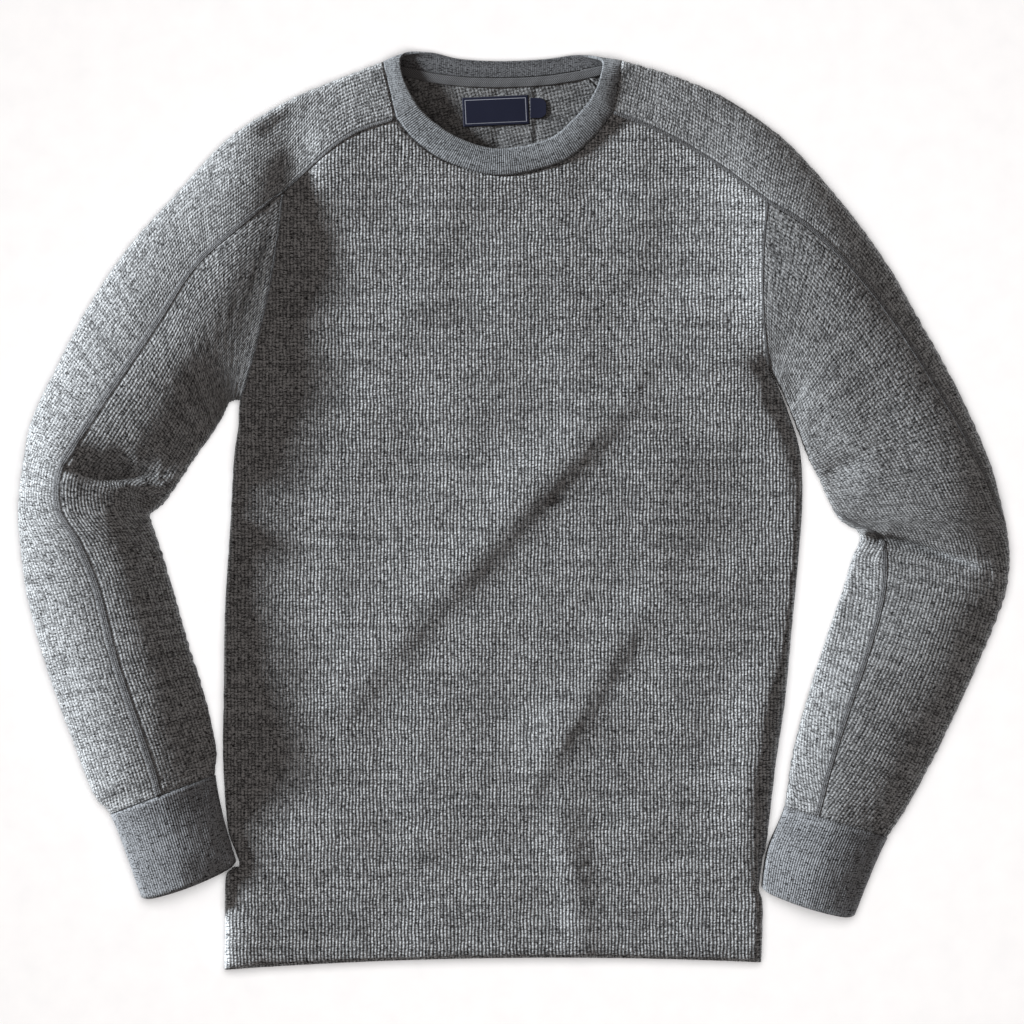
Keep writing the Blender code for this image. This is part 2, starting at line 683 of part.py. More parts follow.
def add_neck_tape():
    """Tape over the back neck seam, laid on the inner face of the back panel."""
    share = np.linspace(0.03, 0.97, TAPE_PARTS + 1)
    seam = neckline("bottom", share)
    lower = WALL + SEAM_GAP
    rows = []
    for drop in (SEAM_GAP, TAPE_WIDTH):
        rows.append(np.column_stack([seam[:, 0], seam[:, 1] - drop, np.full(len(seam), lower)]))
    face = np.array(rows)
    wall = Wall(face + np.array([0, 0, TAPE_THICKNESS]), face)
    return mesh_of("neck_tape", wall, "neck_tape")


def plate(size):
    """A box of this size in millimetres, not yet an object."""
    grid = bmesh.new()
    bmesh.ops.create_cube(grid, size=1.0)
    bmesh.ops.scale(grid, vec=[side * MM for side in size], verts=grid.verts)
    return grid


def add_label():
    """Woven label, a thin plate on the inner face of the back panel."""
    made = finish_object("neck_label", plate(LABEL_SIZE), "woven_label")
    place_trim(made, LABEL_CENTRE, LABEL_SIZE[2])
    made.rotation_euler.z = LABEL_TILT
    return made


def add_size_tab():
    """Size tab beside the label: square at the label, rounded at its free end."""
    width, _, thickness = TAB_SIZE
    grid = plate(TAB_SIZE)
    corners = [edge for edge in grid.edges
               if all(v.co.x > 0 for v in edge.verts) and edge.calc_length() < 2 * thickness * MM]
    bmesh.ops.bevel(grid, geom=corners, offset=TAB_ROUND * MM, segments=TAB_ROUND_PARTS,
                    profile=0.5, affect="EDGES")
    made = finish_object("size_tab", grid, "woven_label")
    place_trim(made, (TAB_LEFT[0] + width / 2, TAB_LEFT[1]), thickness)
    return made


def place_trim(made, centre, thickness):
    """Lay a piece of trim flat, a seam gap above the back panel."""
    level = WALL + SEAM_GAP + thickness / 2
    made.location = np.array([centre[0] - CENTRE[0], centre[1] - CENTRE[1], level]) * MM


def clear_scene():
    """Start from nothing, with one collection for the garment."""
    for made in list(bpy.data.objects):
        bpy.data.objects.remove(made, do_unlink=True)
    garment = bpy.data.collections.new(COLLECTION)
    bpy.context.scene.collection.children.link(garment)


def build():
    """Model every piece of the garment."""
    clear_scene()
    front = body_wall("top", NECK_FRONT_PARTS)
    back = body_wall("bottom", NECK_BACK_PARTS)
    saddles = {side: saddle_wall(side) for side in SLEEVES}
    collar = collar_wall(front, back, saddles).pull_back("first_row")
    mesh_of("collar", collar, "rib_knit", closed=True)
    body_edges = ("first_column", "last_column", "last_row")
    mesh_of("front_panel", front.pull_back(*body_edges), "waffle_knit")
    mesh_of("back_panel", back.pull_back(*body_edges), "waffle_knit")
    sleeve_edges = ("first_column", "last_column", "first_row", "last_row")
    for side in SLEEVES:
        saddle = saddles[side].pull_back(*sleeve_edges)
        mesh_of(side + "_outer_sleeve", saddle, "waffle_knit")
        mesh_of(side + "_under_sleeve", under_wall(side).pull_back(*sleeve_edges), "waffle_knit")
        mesh_of(side + "_cuff", cuff_wall(side).pull_back("first_row"), "rib_knit", closed=True)
    add_neck_tape()
    add_label()
    add_size_tab()


build()
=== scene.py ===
"""Looks of a long-sleeved waffle-knit thermal top that lies flat on its back.

+Z is up and +Y runs towards the neck.  Tables are in millimetres in the garment's plan, and
meshes in metres.  Every knit panel lies on one common drape: an upper side, whose height is
worked out from the distance to the nearest folded edge, from crowns and from folds, and an
underside that rests on the floor.  Panels are walls of cloth between two such faces, seams are
strips sewn over the lines where panels meet, and the waffle, rib and twill are in the finishes.
"""

import json
import logging
import math
from dataclasses import dataclass, field
from enum import Enum
from typing import Callable

import bmesh
import bpy
import numpy as np
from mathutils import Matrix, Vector

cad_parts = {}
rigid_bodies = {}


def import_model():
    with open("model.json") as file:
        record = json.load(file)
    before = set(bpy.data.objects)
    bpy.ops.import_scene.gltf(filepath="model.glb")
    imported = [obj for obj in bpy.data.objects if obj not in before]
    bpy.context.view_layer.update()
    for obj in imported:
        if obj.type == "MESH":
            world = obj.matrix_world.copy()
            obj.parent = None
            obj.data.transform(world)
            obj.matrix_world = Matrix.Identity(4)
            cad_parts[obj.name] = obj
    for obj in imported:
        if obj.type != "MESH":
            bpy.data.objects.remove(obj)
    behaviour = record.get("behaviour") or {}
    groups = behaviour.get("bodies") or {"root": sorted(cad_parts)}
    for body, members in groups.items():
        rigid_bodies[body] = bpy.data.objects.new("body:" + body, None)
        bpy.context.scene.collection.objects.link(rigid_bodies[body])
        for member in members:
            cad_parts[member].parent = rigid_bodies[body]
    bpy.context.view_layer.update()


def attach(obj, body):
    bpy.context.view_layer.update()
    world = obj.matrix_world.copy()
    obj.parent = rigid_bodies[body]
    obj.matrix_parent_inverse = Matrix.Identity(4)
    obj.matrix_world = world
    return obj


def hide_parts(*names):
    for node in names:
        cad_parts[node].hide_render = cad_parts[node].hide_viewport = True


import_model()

Grid = np.ndarray
Table = dict[str, np.ndarray]
Socket = bpy.types.NodeSocket
Tree = bpy.types.NodeTree
log = logging.getLogger("thermal_top")

BODY = "root"
KNIT_UV = "knit"            # UV map in millimetres: across the knit's columns, and along them
MM = 0.001
CENTRE = (0.935, 0.335)     # middle of the finished garment in the tables' millimetres

WALL = 2.2                  # thickness of the waffle knit and the rib
SEAM_GAP = 0.3
FLOOR_LIFT = 0.35           # the panels' undersides lie this high, so that seams fit under them
REVERSE_SLANT = -14.0       # degrees between the knit's rows on its two faces
STEP = 2.4                  # spacing of the points on a sleeve, along it


class Side(Enum):
    """The two sides of the garment as seen from above."""

    LEFT = "left"
    RIGHT = "right"


class Layer(Enum):
    """The two layers of cloth: the front of the garment and its back."""

    TOP = "top"
    BOTTOM = "bottom"


def table(columns: str, *rows: tuple) -> Table:
    """Give a table's rows as named columns.

    Args:
        columns: The names of the columns, with spaces between them.
        rows: One tuple for each row.

    Returns:
        Each column as an array, by its name.
    """
    names = columns.split()
    return {name: np.array([row[i] for row in rows]) for i, name in enumerate(names)}


def points_of(rows: Table, names: str) -> Grid:
    """Give some of a table's columns side by side, one point for each row."""
    return np.stack([rows[name] for name in names.split()], axis=-1).astype(float)


# Sections of a sleeve, from the collar to the end of the cuff.  A section runs from the outer
# folded edge to the inner one.  Until the shoulder the inner point is only what the section
# aims at.  bow bends a section sideways.  front_seam and back_seam are counted round the
# sleeve from the outer edge: 0 to 1 over the top, 1 to 2 back underneath, below 0 underneath.
SECTION_COLUMNS = "station outer_x outer_y inner_x inner_y bow front_seam back_seam"

LEFT_SLEEVE = table(
    SECTION_COLUMNS,
    ("collar", -103.5, 359.5, -68, 210, 0, 0.30, 1.70),
    ("neck_side", -141, 345, -116, 191, 0, 0.30, 1.70),
    ("shoulder", -181, 327.5, -218, 89, 9.6, 0.30, 1.70),
    ("cap", -227, 298, -226.5, 86.5, 4, 0.35, 1.66),
    ("upper_arm", -266, 257, -231.5, 76, 0, 0.34, 1.66),
    ("biceps", -307.5, 210.5, -239.5, 63, 0, 0.38, 1.66),
    ("mid_arm", -340, 162, -251, 47, 0, 0.38, 1.66),
    ("low_arm", -365, 114.5, -264.5, 27, 0, 0.35, 1.66),
    ("above_elbow", -384.5, 73, -277, 8.5, 0, 0.32, 1.66),
    ("elbow_in", -391.5, 39, -284.5, 1.5, 0, 0.27, 1.66),
    ("elbow", -395.5, 4, -290, -4, 0, 0.31, 1.66),
    ("elbow_out", -393.5, -31, -285, -19.5, 0, 0.43, 1.62),
    ("forearm", -387.5, -71.5, -274, -54.5, 0, 0.49, 1.58),
    ("mid_forearm", -372.5, -126, -259, -107, 0, 0.48, 1.55),
    ("low_forearm", -353.5, -179.5, -245.5, -150.5, 0, 0.48, 1.55),
    ("wrist", -335, -226.5, -237, -191, 0, 0.49, 1.55),
    ("cuff_seam", -321.5, -243, -237.5, -211, 0, 0.47, 1.55),
    ("cuff_middle", -308, -277, -231, -246, -1.6, 0.47, 1.55),
    ("cuff_end", -296, -312, -220, -283, -3.2, 0.47, 1.55),
)

RIGHT_SLEEVE = table(
    SECTION_COLUMNS,
    ("collar", 87.5, 360.5, 63, 223, 0, 0.30, 1.70),
    ("neck_side", 128, 348.5, 109, 193, 0, 0.30, 1.70),
    ("yoke", 170, 330.5, 156, 150, 0, 0.30, 1.70),
    ("shoulder", 214.5, 299.5, 206, 113, -9.6, 0.28, 1.70),
    ("cap", 244.5, 269, 209.5, 106, -4.8, 0.24, 1.68),
    ("upper_arm", 274.5, 233, 215, 96, 0, 0.21, 1.63),
    ("biceps", 302, 194, 222, 80, 0, 0.17, 1.57),
    ("mid_arm", 325.5, 152.5, 229.5, 61, 0, 0.13, 1.46),
    ("low_arm", 348.5, 112, 236.5, 43, 0, 0.11, 1.32),
    ("above_elbow", 370, 68, 245, 26.5, 0, 0.08, 1.17),
    ("elbow_in", 384.5, 31, 252, 10.5, 0, 0.05, 1.05),
    ("elbow", 393, -3, 262, -7, 0, 0.01, 0.96),
    ("elbow_fold", 397.5, -31, 278, -19, 0, -0.05, 0.87),
    ("elbow_out", 395, -63.5, 272, -37.5, 0, -0.10, 0.79),
    ("forearm", 382, -99.5, 264, -64, 0, -0.14, 0.74),
    ("mid_forearm", 363, -143, 250.5, -103.5, 0, -0.17, 0.71),
    ("low_forearm", 339, -193.5, 236, -149, 0, -0.18, 0.70),
    ("wrist", 317, -234.5, 224, -195, 0, -0.18, 0.69),
    ("cuff_seam", 300, -261.5, 217.5, -236, 0, -0.18, 0.69),
    ("cuff_middle", 286.5, -291, 203.5, -270.5, 1.4, -0.18, 0.69),
    ("cuff_end", 272.5, -326.5, 198.5, -303, 2.8, -0.18, 0.69),
)

# Under the shoulders the saddle panels turn towards the back neck: what their sections aim at
LEFT_BACK_AIM = ((20, 331), (-67, 210))
RIGHT_BACK_AIM = ((-23, 334), (49, 210), (128, 143))

# The two side folds of the body, from the hem to the underarms.  The cuffs press into them.
BODY_SIDES = table(
    "left_x left_y right_x right_y",
    (-230.5, -367, 199, -361),
    (-230, -338, 200, -334),
    (-230, -310, 200, -313),
    (-228.5, -289.8, 197.2, -303),
    (-218.7, -284.2, 198.2, -292),
    (-221.8, -272, 200.0, -279),
    (-228.0, -251, 203.6, -262),
    (-231.5, -199, 210.5, -203),
    (-231, -143, 218, -152),
    (-230, -79, 223.5, -93),
    (-226, -15, 229, -35),
    (-223, 40, 232, 12),
    (-219.5, 66, 229.5, 50),
    (-219, 79, 218, 86),
    (-218, 89, 206, 113),
)
HEM_BOW = 6.4               # the hem's middle lies this much higher than its ends

# Where the neck seams run between the saddle seams, from left to right
NECK_FRONT = table(
    "x y",
    (-78.4, 297.2), (-51.8, 279.2), (-10.0, 268.4), (37.5, 278.4), (64.0, 298.2),
)
NECK_BACK = table(
    "x y",
    (-42.0, 347.8), (-10.0, 346.7), (25.0, 348.3),
)

# Creases of the back panel that show in the neck; each runs straight up from the label
NECK_CREASES = table(
    "x height width",
    (-11.5, -0.8, 5.0), (14.5, 0.5, 3.0), (18.5, -0.6, 2.2),
)

# The free edge of the collar band, once round from the left saddle seam over the front.
# It stands higher than the seam in front and lies low behind; arch is how far the band
# swells between seam and edge.
COLLAR_EDGE = table(
    "place x y z arch",
    ("left_saddle", -76.4, 325.6, 14.3, 0.6),
    ("left_front", -62.8, 311.2, 14.3, 0.8),
    ("left_middle", -40.4, 297.2, 15.0, 1.2),
    ("middle_front", -10.0, 289.8, 15.0, 1.2),
    ("right_middle", 28.4, 297.6, 15.0, 1.2),
    ("right_front", 49.2, 314.1, 15.5, 1.2),
    ("right_saddle", 62.8, 330.4, 15.5, 1.2),
    ("right_side", 70.0, 347.0, 14.5, 1.0),
    ("right_crease", 70.5, 361.5, 8.5, 0.6),
    ("right_back", 53.0, 365.0, 1.5, 0.0),
    ("back_right", 25.0, 361.5, 1.0, 0.0),
    ("middle_back", -10.0, 360.0, 1.0, 0.0),
    ("back_left", -42.0, 361.8, 1.0, 0.0),
    ("left_back", -66.0, 367.0, 1.5, 0.0),
    ("left_crease", -87.5, 365.5, 8.5, 0.6),
    ("left_side", -87.8, 348.0, 13.3, 0.5),
)

# How high the upper layer stands, by place; it blends smoothly between them
CROWNS = table(
    "place x y crown reach",
    ("chest", -40, 170, 11.8, 120),
    ("waist", -40, -50, 11.8, 120),
    ("hem", -10, -360, 9.8, 110),
    ("neck", -10, 290, 12.0, 80),
    ("left_chest", -140, 180, 9.3, 50),
    ("left_waist", -185, 0, 9.2, 60),
    ("left_hem", -190, -220, 9.6, 60),
    ("right_hem", 150, -330, 8.8, 50),
    ("right_chest", 165, 215, 11.0, 40),
    ("right_waist", 200, -20, 9.0, 45),
    ("left_saddle", -120, 315, 13.5, 40),
    ("left_yoke_low", -180, 310, 9.0, 22),
    ("left_shoulder_crest", -232, 275, 27.0, 22),
    ("left_cap", -225, 235, 22.0, 36),
    ("left_biceps", -275, 160, 25.0, 40),
    ("left_low_arm", -320, 80, 31.0, 40),
    ("left_elbow_crest", -368, 34, 47.0, 18),
    ("left_elbow", -342, 0, 32.0, 40),
    ("left_forearm", -330, -80, 30.5, 40),
    ("left_wrist", -300, -165, 32.0, 40),
    ("left_cuff", -272, -250, 24.0, 36),
    ("left_hand", -260, -305, 18.0, 30),
    ("right_saddle", 130, 305, 12.0, 45),
    ("right_yoke", 215, 262, 24.0, 36),
    ("right_cap", 235, 215, 27.0, 38),
    ("right_underarm", 221, 92, 3.0, 7),
    ("right_biceps", 272, 145, 24.0, 40),
    ("right_low_arm", 300, 80, 22.5, 40),
    ("right_elbow", 328, 0, 23.5, 40),
    ("right_forearm", 330, -80, 21.0, 40),
    ("right_forearm_inner", 283, -75, 11.0, 26),
    ("right_wrist", 290, -175, 22.5, 40),
    ("right_cuff", 250, -265, 20.0, 36),
    ("right_hand", 238, -315, 16.0, 30),
)

# The folds of the upper layer, each along a curve through three points.  height is negative
# for a crease; above and below are its half-widths on its two sides.
FOLDS = table(
    "fold start_x start_y middle_x middle_y end_x end_y height above below",
    ("body_long", 92, 90, 5, 0, -130, -148, 2.5, 26, 14),
    ("body_low", 114, -66, 62, -143, 0, -244, 1.7, 22, 12),
    ("hem_wave", 38, -240, 48, -290, 56, -362, 1.4, 15, 12),
    ("body_faint", -26, -240, -66, -262, -100, -282, 1.0, 18, 14),
    ("left_yoke", -201, 322, -172, 290, -184, 250, -6.0, 17, 17),
    ("left_ridge", -200, 245, -247, 160, -322, 72, 3.8, 24, 25),
    ("left_elbow", -353, 35, -327, 28, -301, 28, -11.0, 20, 4.5),
    ("left_hollow", -325, 30, -305, 29, -284, 24, -9.0, 16, 5),
    ("left_pucker", -304, 16, -297, 6, -290, 0, -4.0, 7, 4),
    ("right_elbow", 298, -22, 325, -28, 370, -44, -7.0, 12, 26),
    ("right_elbow_line", 286, -19, 324, -28, 368, -43, -12.0, 2.6, 4.2),
    ("right_armpit", 246, 28, 262, 34, 280, 42, -3.0, 9, 9),
)
FOLD_SAMPLES = 41

# Cross section of a flat seam's strip: its raised threads, by share of its half width
STITCHES = table(
    "place height",
    (-1.0, -0.35), (-0.84, 0.16), (-0.58, 0.34), (-0.36, 0.14), (-0.13, 0.30),
    (0.13, 0.30), (0.36, 0.14), (0.58, 0.34), (0.84, 0.16), (1.0, -0.35),
)


# ---------------------------------------------------------------------------------- curves

def curve(points: Grid, t: Grid) -> Grid:
    """Read a smooth curve through points.

    Args:
        points: The points, one in each row.
        t: Where to read the curve, counted in rows.

    Returns:
        The places, with the coordinates along the last axis.
    """
    last = len(points) - 1
    padded = np.vstack([2 * points[0] - points[1], points, 2 * points[-1] - points[-2]])
    t = np.clip(np.asarray(t, float), 0, last)
    i = np.minimum(t.astype(int), last - 1)
    f = (t - i)[..., None]
    p0, p1, p2, p3 = (padded[i + k] for k in range(4))
    return 0.5 * (2 * p1 + (p2 - p0) * f + (2 * p0 - 5 * p1 + 4 * p2 - p3) * f ** 2
                  + (3 * p1 - p0 - 3 * p2 + p3) * f ** 3)


def closed_curve(points: Grid, t: Grid) -> Grid:
    """Read a smooth curve through points, as curve does, that runs on into its start."""
    return curve(np.vstack([points[-2:], points, points[:3]]), np.mod(t, len(points)) + 2)


def turn(seam: Grid) -> Grid:
    """Turn a place counted round a sleeve (0, 1, 2) into an angle (0, pi, 2 pi)."""
    seam = np.asarray(seam, float)
    whole = np.floor(seam)
    part = seam - whole
    odd = np.mod(whole, 2) == 1
    angle = np.arccos(1 - 2 * np.where(odd, 1 - part, part))
    return whole * math.pi + np.where(odd, math.pi - angle, angle)


def lengths(points: Grid, axis: int) -> Grid:
    """Give the length of a grid's lines from their start to each point.

    Args:
        points: The grid, with the coordinates along its last axis.
        axis: 0 for lengths down the columns, 1 for lengths along the rows.

    Returns:
        The lengths, one for each point.
    """
    steps = np.linalg.norm(np.diff(points, axis=axis), axis=-1)
    pad = [(0, 0), (0, 0)]
    pad[axis] = (1, 0)
    return np.pad(np.cumsum(steps, axis=axis), pad)


def run_along(line: Grid) -> Grid:
    """Give the distance along a line from its start to each of its points."""
    return np.concatenate([[0], np.cumsum(np.linalg.norm(np.diff(line, axis=0), axis=-1))])


def knit_spots(across: Grid, places: Grid) -> Grid:
    """Give where each point is on the knit.

    Args:
        across: How far each point is across the knit's columns.
        places: The grid's places; the way along the knit is measured on their average line.

    Returns:
        Two coordinates in millimetres for each point.
    """
    along = lengths(places, 0).mean(axis=1, keepdims=True)
    return np.stack([np.broadcast_to(part, places.shape[:2]) for part in (across, along)],
                    axis=-1)


@dataclass(frozen=True)
class Ripples:
    """Shallow waves that run every way over a surface.

    height is their usual height and shortest and longest are wave lengths, in millimetres.
    """

    height: float
    shortest: float
    longest: float
    seed: int
    count: int = 24

    def at(self, place: Grid) -> Grid:
        """Give the height of the waves at each place, two coordinates in millimetres."""
        random = np.random.default_rng(self.seed)
        waves = np.zeros(place.shape[:-1])
        for _ in range(self.count):
            length = random.uniform(self.shortest, self.longest)
            heading = random.uniform(0, 2 * math.pi)
            phase = random.uniform(0, 2 * math.pi)
            run = place[..., 0] * math.cos(heading) + place[..., 1] * math.sin(heading)
            waves += np.sin(2 * math.pi * run / length + phase)
        return waves * self.height / math.sqrt(self.count / 2)


# ------------------------------------------------------------------------- the garment's plan

@dataclass
class SleevePlan:
    """One sleeve seen from above: sections across it, read at any station and angle round it."""

    side: Side
    rows: Table
    back_aim: tuple[tuple[float, float], ...]

    def __post_init__(self) -> None:
        """Name the stations and set what the sections aim at."""
        names = list(self.rows["station"])
        self.shoulder = names.index("shoulder")
        self.cuff = names.index("cuff_seam")
        self.end = len(names) - 1
        aims = points_of(self.rows, "inner_x inner_y")
        self.front_aims = aims[:self.shoulder + 1]
        self.fold = aims[self.shoulder:]
        self.back_aims = self.front_aims.copy()
        self.back_aims[:len(self.back_aim)] = self.back_aim

    def outer(self, u: Grid) -> Grid:
        """Give the outer fold's places at these stations."""
        return curve(points_of(self.rows, "outer_x outer_y"), u)

    def inner(self, u: Grid, layer: Layer = Layer.TOP) -> Grid:
        """Give the inner fold from the shoulder on; before it, what the sections aim at."""
        aims = self.front_aims if layer is Layer.TOP else self.back_aims
        fold = curve(self.fold, u - self.shoulder)
        return np.where((u < self.shoulder)[..., None], curve(aims, u), fold)

    def seams(self, u: Grid) -> tuple[Grid, Grid]:
        """Give the angles of the front and the back seam at these stations."""
        places = curve(points_of(self.rows, "front_seam back_seam"), u)
        return turn(places[..., 0]), turn(places[..., 1])

    def plan(self, u: Grid, angle: Grid) -> Grid:
        """Give places in plan; the underside has its own aim near the neck.

        Args:
            u: Stations along the sleeve.
            angle: Angles round it, from 0 at the outer fold over the top.

        Returns:
            The places, in millimetres.
        """
        under = (np.sin(angle) < 0)[..., None]
        outer = self.outer(u)
        across = np.where(under, self.inner(u, Layer.BOTTOM), self.inner(u)) - outer
        f = ((1 - np.cos(angle)) / 2)[..., None]
        bow = curve(points_of(self.rows, "bow"), u) * 4 * f * (1 - f)
        length = np.linalg.norm(across, axis=-1, keepdims=True)
        sideways = np.stack([-across[..., 1], across[..., 0]], axis=-1) / length
        return outer + across * f + sideways * bow


@dataclass
class GarmentPlan:
    """The whole garment seen from above: sleeves, side folds, hem, armholes and necklines."""

    sleeves: dict[Side, SleevePlan] = field(default_factory=lambda: {
        Side.LEFT: SleevePlan(Side.LEFT, LEFT_SLEEVE, LEFT_BACK_AIM),
        Side.RIGHT: SleevePlan(Side.RIGHT, RIGHT_SLEEVE, RIGHT_BACK_AIM),
    })

    def body_side(self, side: Side, t: Grid) -> Grid:
        """Read one side fold of the body, 0 at the hem and 1 at the underarm."""
        points = points_of(BODY_SIDES, f"{side.value}_x {side.value}_y")
        return curve(points, np.asarray(t) * (len(points) - 1))

    def hem(self, s: Grid) -> Grid:
        """Read the hem, 0 at the left side and 1 at the right."""
        left, right = self.body_side(Side.LEFT, 0.0), self.body_side(Side.RIGHT, 0.0)
        s = np.asarray(s, float)[..., None]
        return left + (right - left) * s + np.array([0, HEM_BOW]) * 4 * s * (1 - s)

    def armhole(self, side: Side, layer: Layer, t: Grid) -> Grid:
        """Read an armhole, 0 at the underarm and 1 where it meets the saddle seam."""
        sleeve = self.sleeves[side]
        station = np.full_like(np.asarray(t, float), sleeve.shoulder)
        front, back = sleeve.seams(station)
        seam = front if layer is Layer.TOP else back
        return sleeve.plan(station, math.pi + (seam - math.pi) * t)

    def saddle_seam(self, side: Side, layer: Layer, t: Grid) -> Grid:
        """Read a saddle seam, 0 at the armhole and 1 at the collar."""
        sleeve = self.sleeves[side]
        station = sleeve.shoulder * (1 - np.asarray(t, float))
        front, back = sleeve.seams(station)
        return sleeve.plan(station, front if layer is Layer.TOP else back)

    def neckline(self, layer: Layer, t: Grid) -> Grid:
        """Read the front or back neck seam, 0 at the left and 1 at the right."""
        middle = points_of(NECK_FRONT if layer is Layer.TOP else NECK_BACK, "x y")
        ends = [self.saddle_seam(side, layer, 1.0)[None] for side in Side]
        points = np.vstack([ends[0], middle, ends[1]])
        return curve(points, np.asarray(t) * (len(points) - 1))

    def folded_edges(self, parts: int = 8) -> tuple[Grid, Grid]:
        """Give the ends of the short straight parts of every folded edge."""
        lines = []
        for sleeve in self.sleeves.values():
            stations = np.linspace(0, sleeve.end, parts * sleeve.end + 1)
            lines.append(sleeve.outer(stations))
            lines.append(sleeve.inner(stations[parts * sleeve.shoulder:]))
        heights = np.linspace(0, 1, (len(BODY_SIDES["left_x"]) - 1) * parts + 1)
        lines += [self.body_side(side, heights) for side in Side]
        starts = np.vstack([line[:-1] for line in lines])
        ends = np.vstack([line[1:] for line in lines])
        return starts, ends


# ---------------------------------------------------------------------------------- the drape

@dataclass
class Drape:
    """The height of the cloth at any place in plan, over the top and underneath."""

    plan: GarmentPlan
    edge_level: float = 4.2         # height of the outermost line of a folded edge
    edge_roll: float = 4.6          # radius of the upper half of that fold
    swell_reach: float = 52.0       # distance over which the cloth rises to its crown
    swell_power: float = 2.3        # how soon it gets there
    lowest_top: float = 2 * WALL + 1.3
    relief_fade: float = 14.0       # folds die out this close to a folded edge
    fold_reach: float = 2.6         # half widths from its line to where a fold has died out
    fold_ends: tuple[float, float] = (0.06, 0.94)   # the part of a half wave that a fold follows
    fold_taper: float = 0.6         # how bluntly it ends
    ripples: Ripples = Ripples(0.3, 50.0, 150.0, 7)
    chunk: int = 4096

    def __post_init__(self) -> None:
        """Work out the folded edges and the folds' lines once."""
        self.starts, self.ends = self.plan.folded_edges()
        bends = points_of(FOLDS, "start_x start_y middle_x middle_y end_x end_y")
        along = np.linspace(0, 2, FOLD_SAMPLES)
        self.lines = [curve(bend.reshape(3, 2), along) for bend in bends]

    def edge_distance(self, place: Grid) -> Grid:
        """Give the distance in plan from the nearest folded edge."""
        flat = place.reshape(-1, 2)
        along = self.ends - self.starts
        squares = np.maximum((along ** 2).sum(-1), 1e-9)
        nearest = np.full(len(flat), 1e9)
        for first in range(0, len(flat), self.chunk):
            part = flat[first:first + self.chunk, None, :] - self.starts[None]
            share = np.clip((part * along[None]).sum(-1) / squares, 0, 1)
            gaps = part - share[..., None] * along[None]
            nearest[first:first + self.chunk] = np.sqrt((gaps ** 2).sum(-1).min(-1))
        return nearest.reshape(place.shape[:-1])

    @staticmethod
    def quarter_round(distance: Grid, radius: float) -> Grid:
        """Give the rise of a quarter circle in from its vertical side, 0 to 1."""
        inward = 1 - np.clip(distance / radius, 0, 1)
        return np.sqrt(np.maximum(1 - inward ** 2, 0))

    def crown(self, place: Grid) -> Grid:
        """Give the height of the upper layer away from its folded edges."""
        total = np.zeros(place.shape[:-1])
        weights = np.full(place.shape[:-1], 1e-9)
        for x, y, height, reach in points_of(CROWNS, "x y crown reach"):
            gap = (place[..., 0] - x) ** 2 + (place[..., 1] - y) ** 2
            weight = np.exp(-gap / (2 * reach ** 2))
            total += weight * height
            weights += weight
        return total / weights

    def relief(self, place: Grid) -> Grid:
        """Give the rise of the folds and the fall of the creases."""
        flat = place.reshape(-1, 2)
        total = np.zeros(len(flat))
        shape = np.sin(math.pi * np.linspace(*self.fold_ends, FOLD_SAMPLES)) ** self.fold_taper
        for line, (height, above, below) in zip(self.lines, points_of(FOLDS, "height above below")):
            reach = self.fold_reach * max(above, below)
            low, high = line.min(0) - reach, line.max(0) + reach
            near = np.flatnonzero(((flat > low) & (flat < high)).all(-1))
            if not len(near):
                continue
            gaps = flat[near][:, None, :] - line[None]
            nearest = (gaps ** 2).sum(-1).argmin(-1)
            tangent = np.gradient(line, axis=0)[nearest]
            gap = flat[near] - line[nearest]
            side = tangent[:, 0] * gap[:, 1] - tangent[:, 1] * gap[:, 0]
            upward = side * np.where(tangent[:, 0] < 0, -1, 1) > 0
            width = np.where(upward, above, below)
            total[near] += height * shape[nearest] * np.exp(-(gap ** 2).sum(-1) / width ** 2)
        return total.reshape(place.shape[:-1])

    def top(self, place: Grid) -> Grid:
        """Give the height of the upper layer's outer face."""
        d = self.edge_distance(place)
        swell = 1 - (1 - np.clip(d / self.swell_reach, 0, 1)) ** self.swell_power
        first = self.edge_level + self.edge_roll
        base = (self.edge_level + self.edge_roll * self.quarter_round(d, self.edge_roll)
                + (self.crown(place) - first) * swell)
        relief = self.relief(place) + self.ripples.at(place)
        folded = base + relief * np.clip(d / self.relief_fade, 0, 1)
        return np.where(base > self.lowest_top, np.maximum(folded, self.lowest_top), base)

    def bottom(self, place: Grid) -> Grid:
        """Give the height of the lower layer's outer face: the floor, but for rolled edges."""
        rise = self.edge_level - FLOOR_LIFT
        return FLOOR_LIFT + rise * (1 - self.quarter_round(self.edge_distance(place), rise))

    def sleeve_point(self, sleeve: SleevePlan, u: Grid, angle: Grid) -> Grid:
        """Give places on a sleeve's outer surface, over the top or underneath."""
        place = sleeve.plan(u, angle)
        height = np.where(np.sin(angle) >= 0, self.top(place), self.bottom(place))
        return np.concatenate([place, height[..., None]], axis=-1)


# -------------------------------------------------------------------------------- materials

def linear(hex_colour: str) -> tuple[float, float, float, float]:
    """Turn an sRGB hex colour into linear red, green, blue and alpha."""
    parts = [int(hex_colour[i:i + 2], 16) / 255 for i in (1, 3, 5)]
    low, high = 12.92, 1.055
    turned = [p / low if p <= 0.04045 else ((p + high - 1) / high) ** 2.4 for p in parts]
    return (*turned, 1.0)


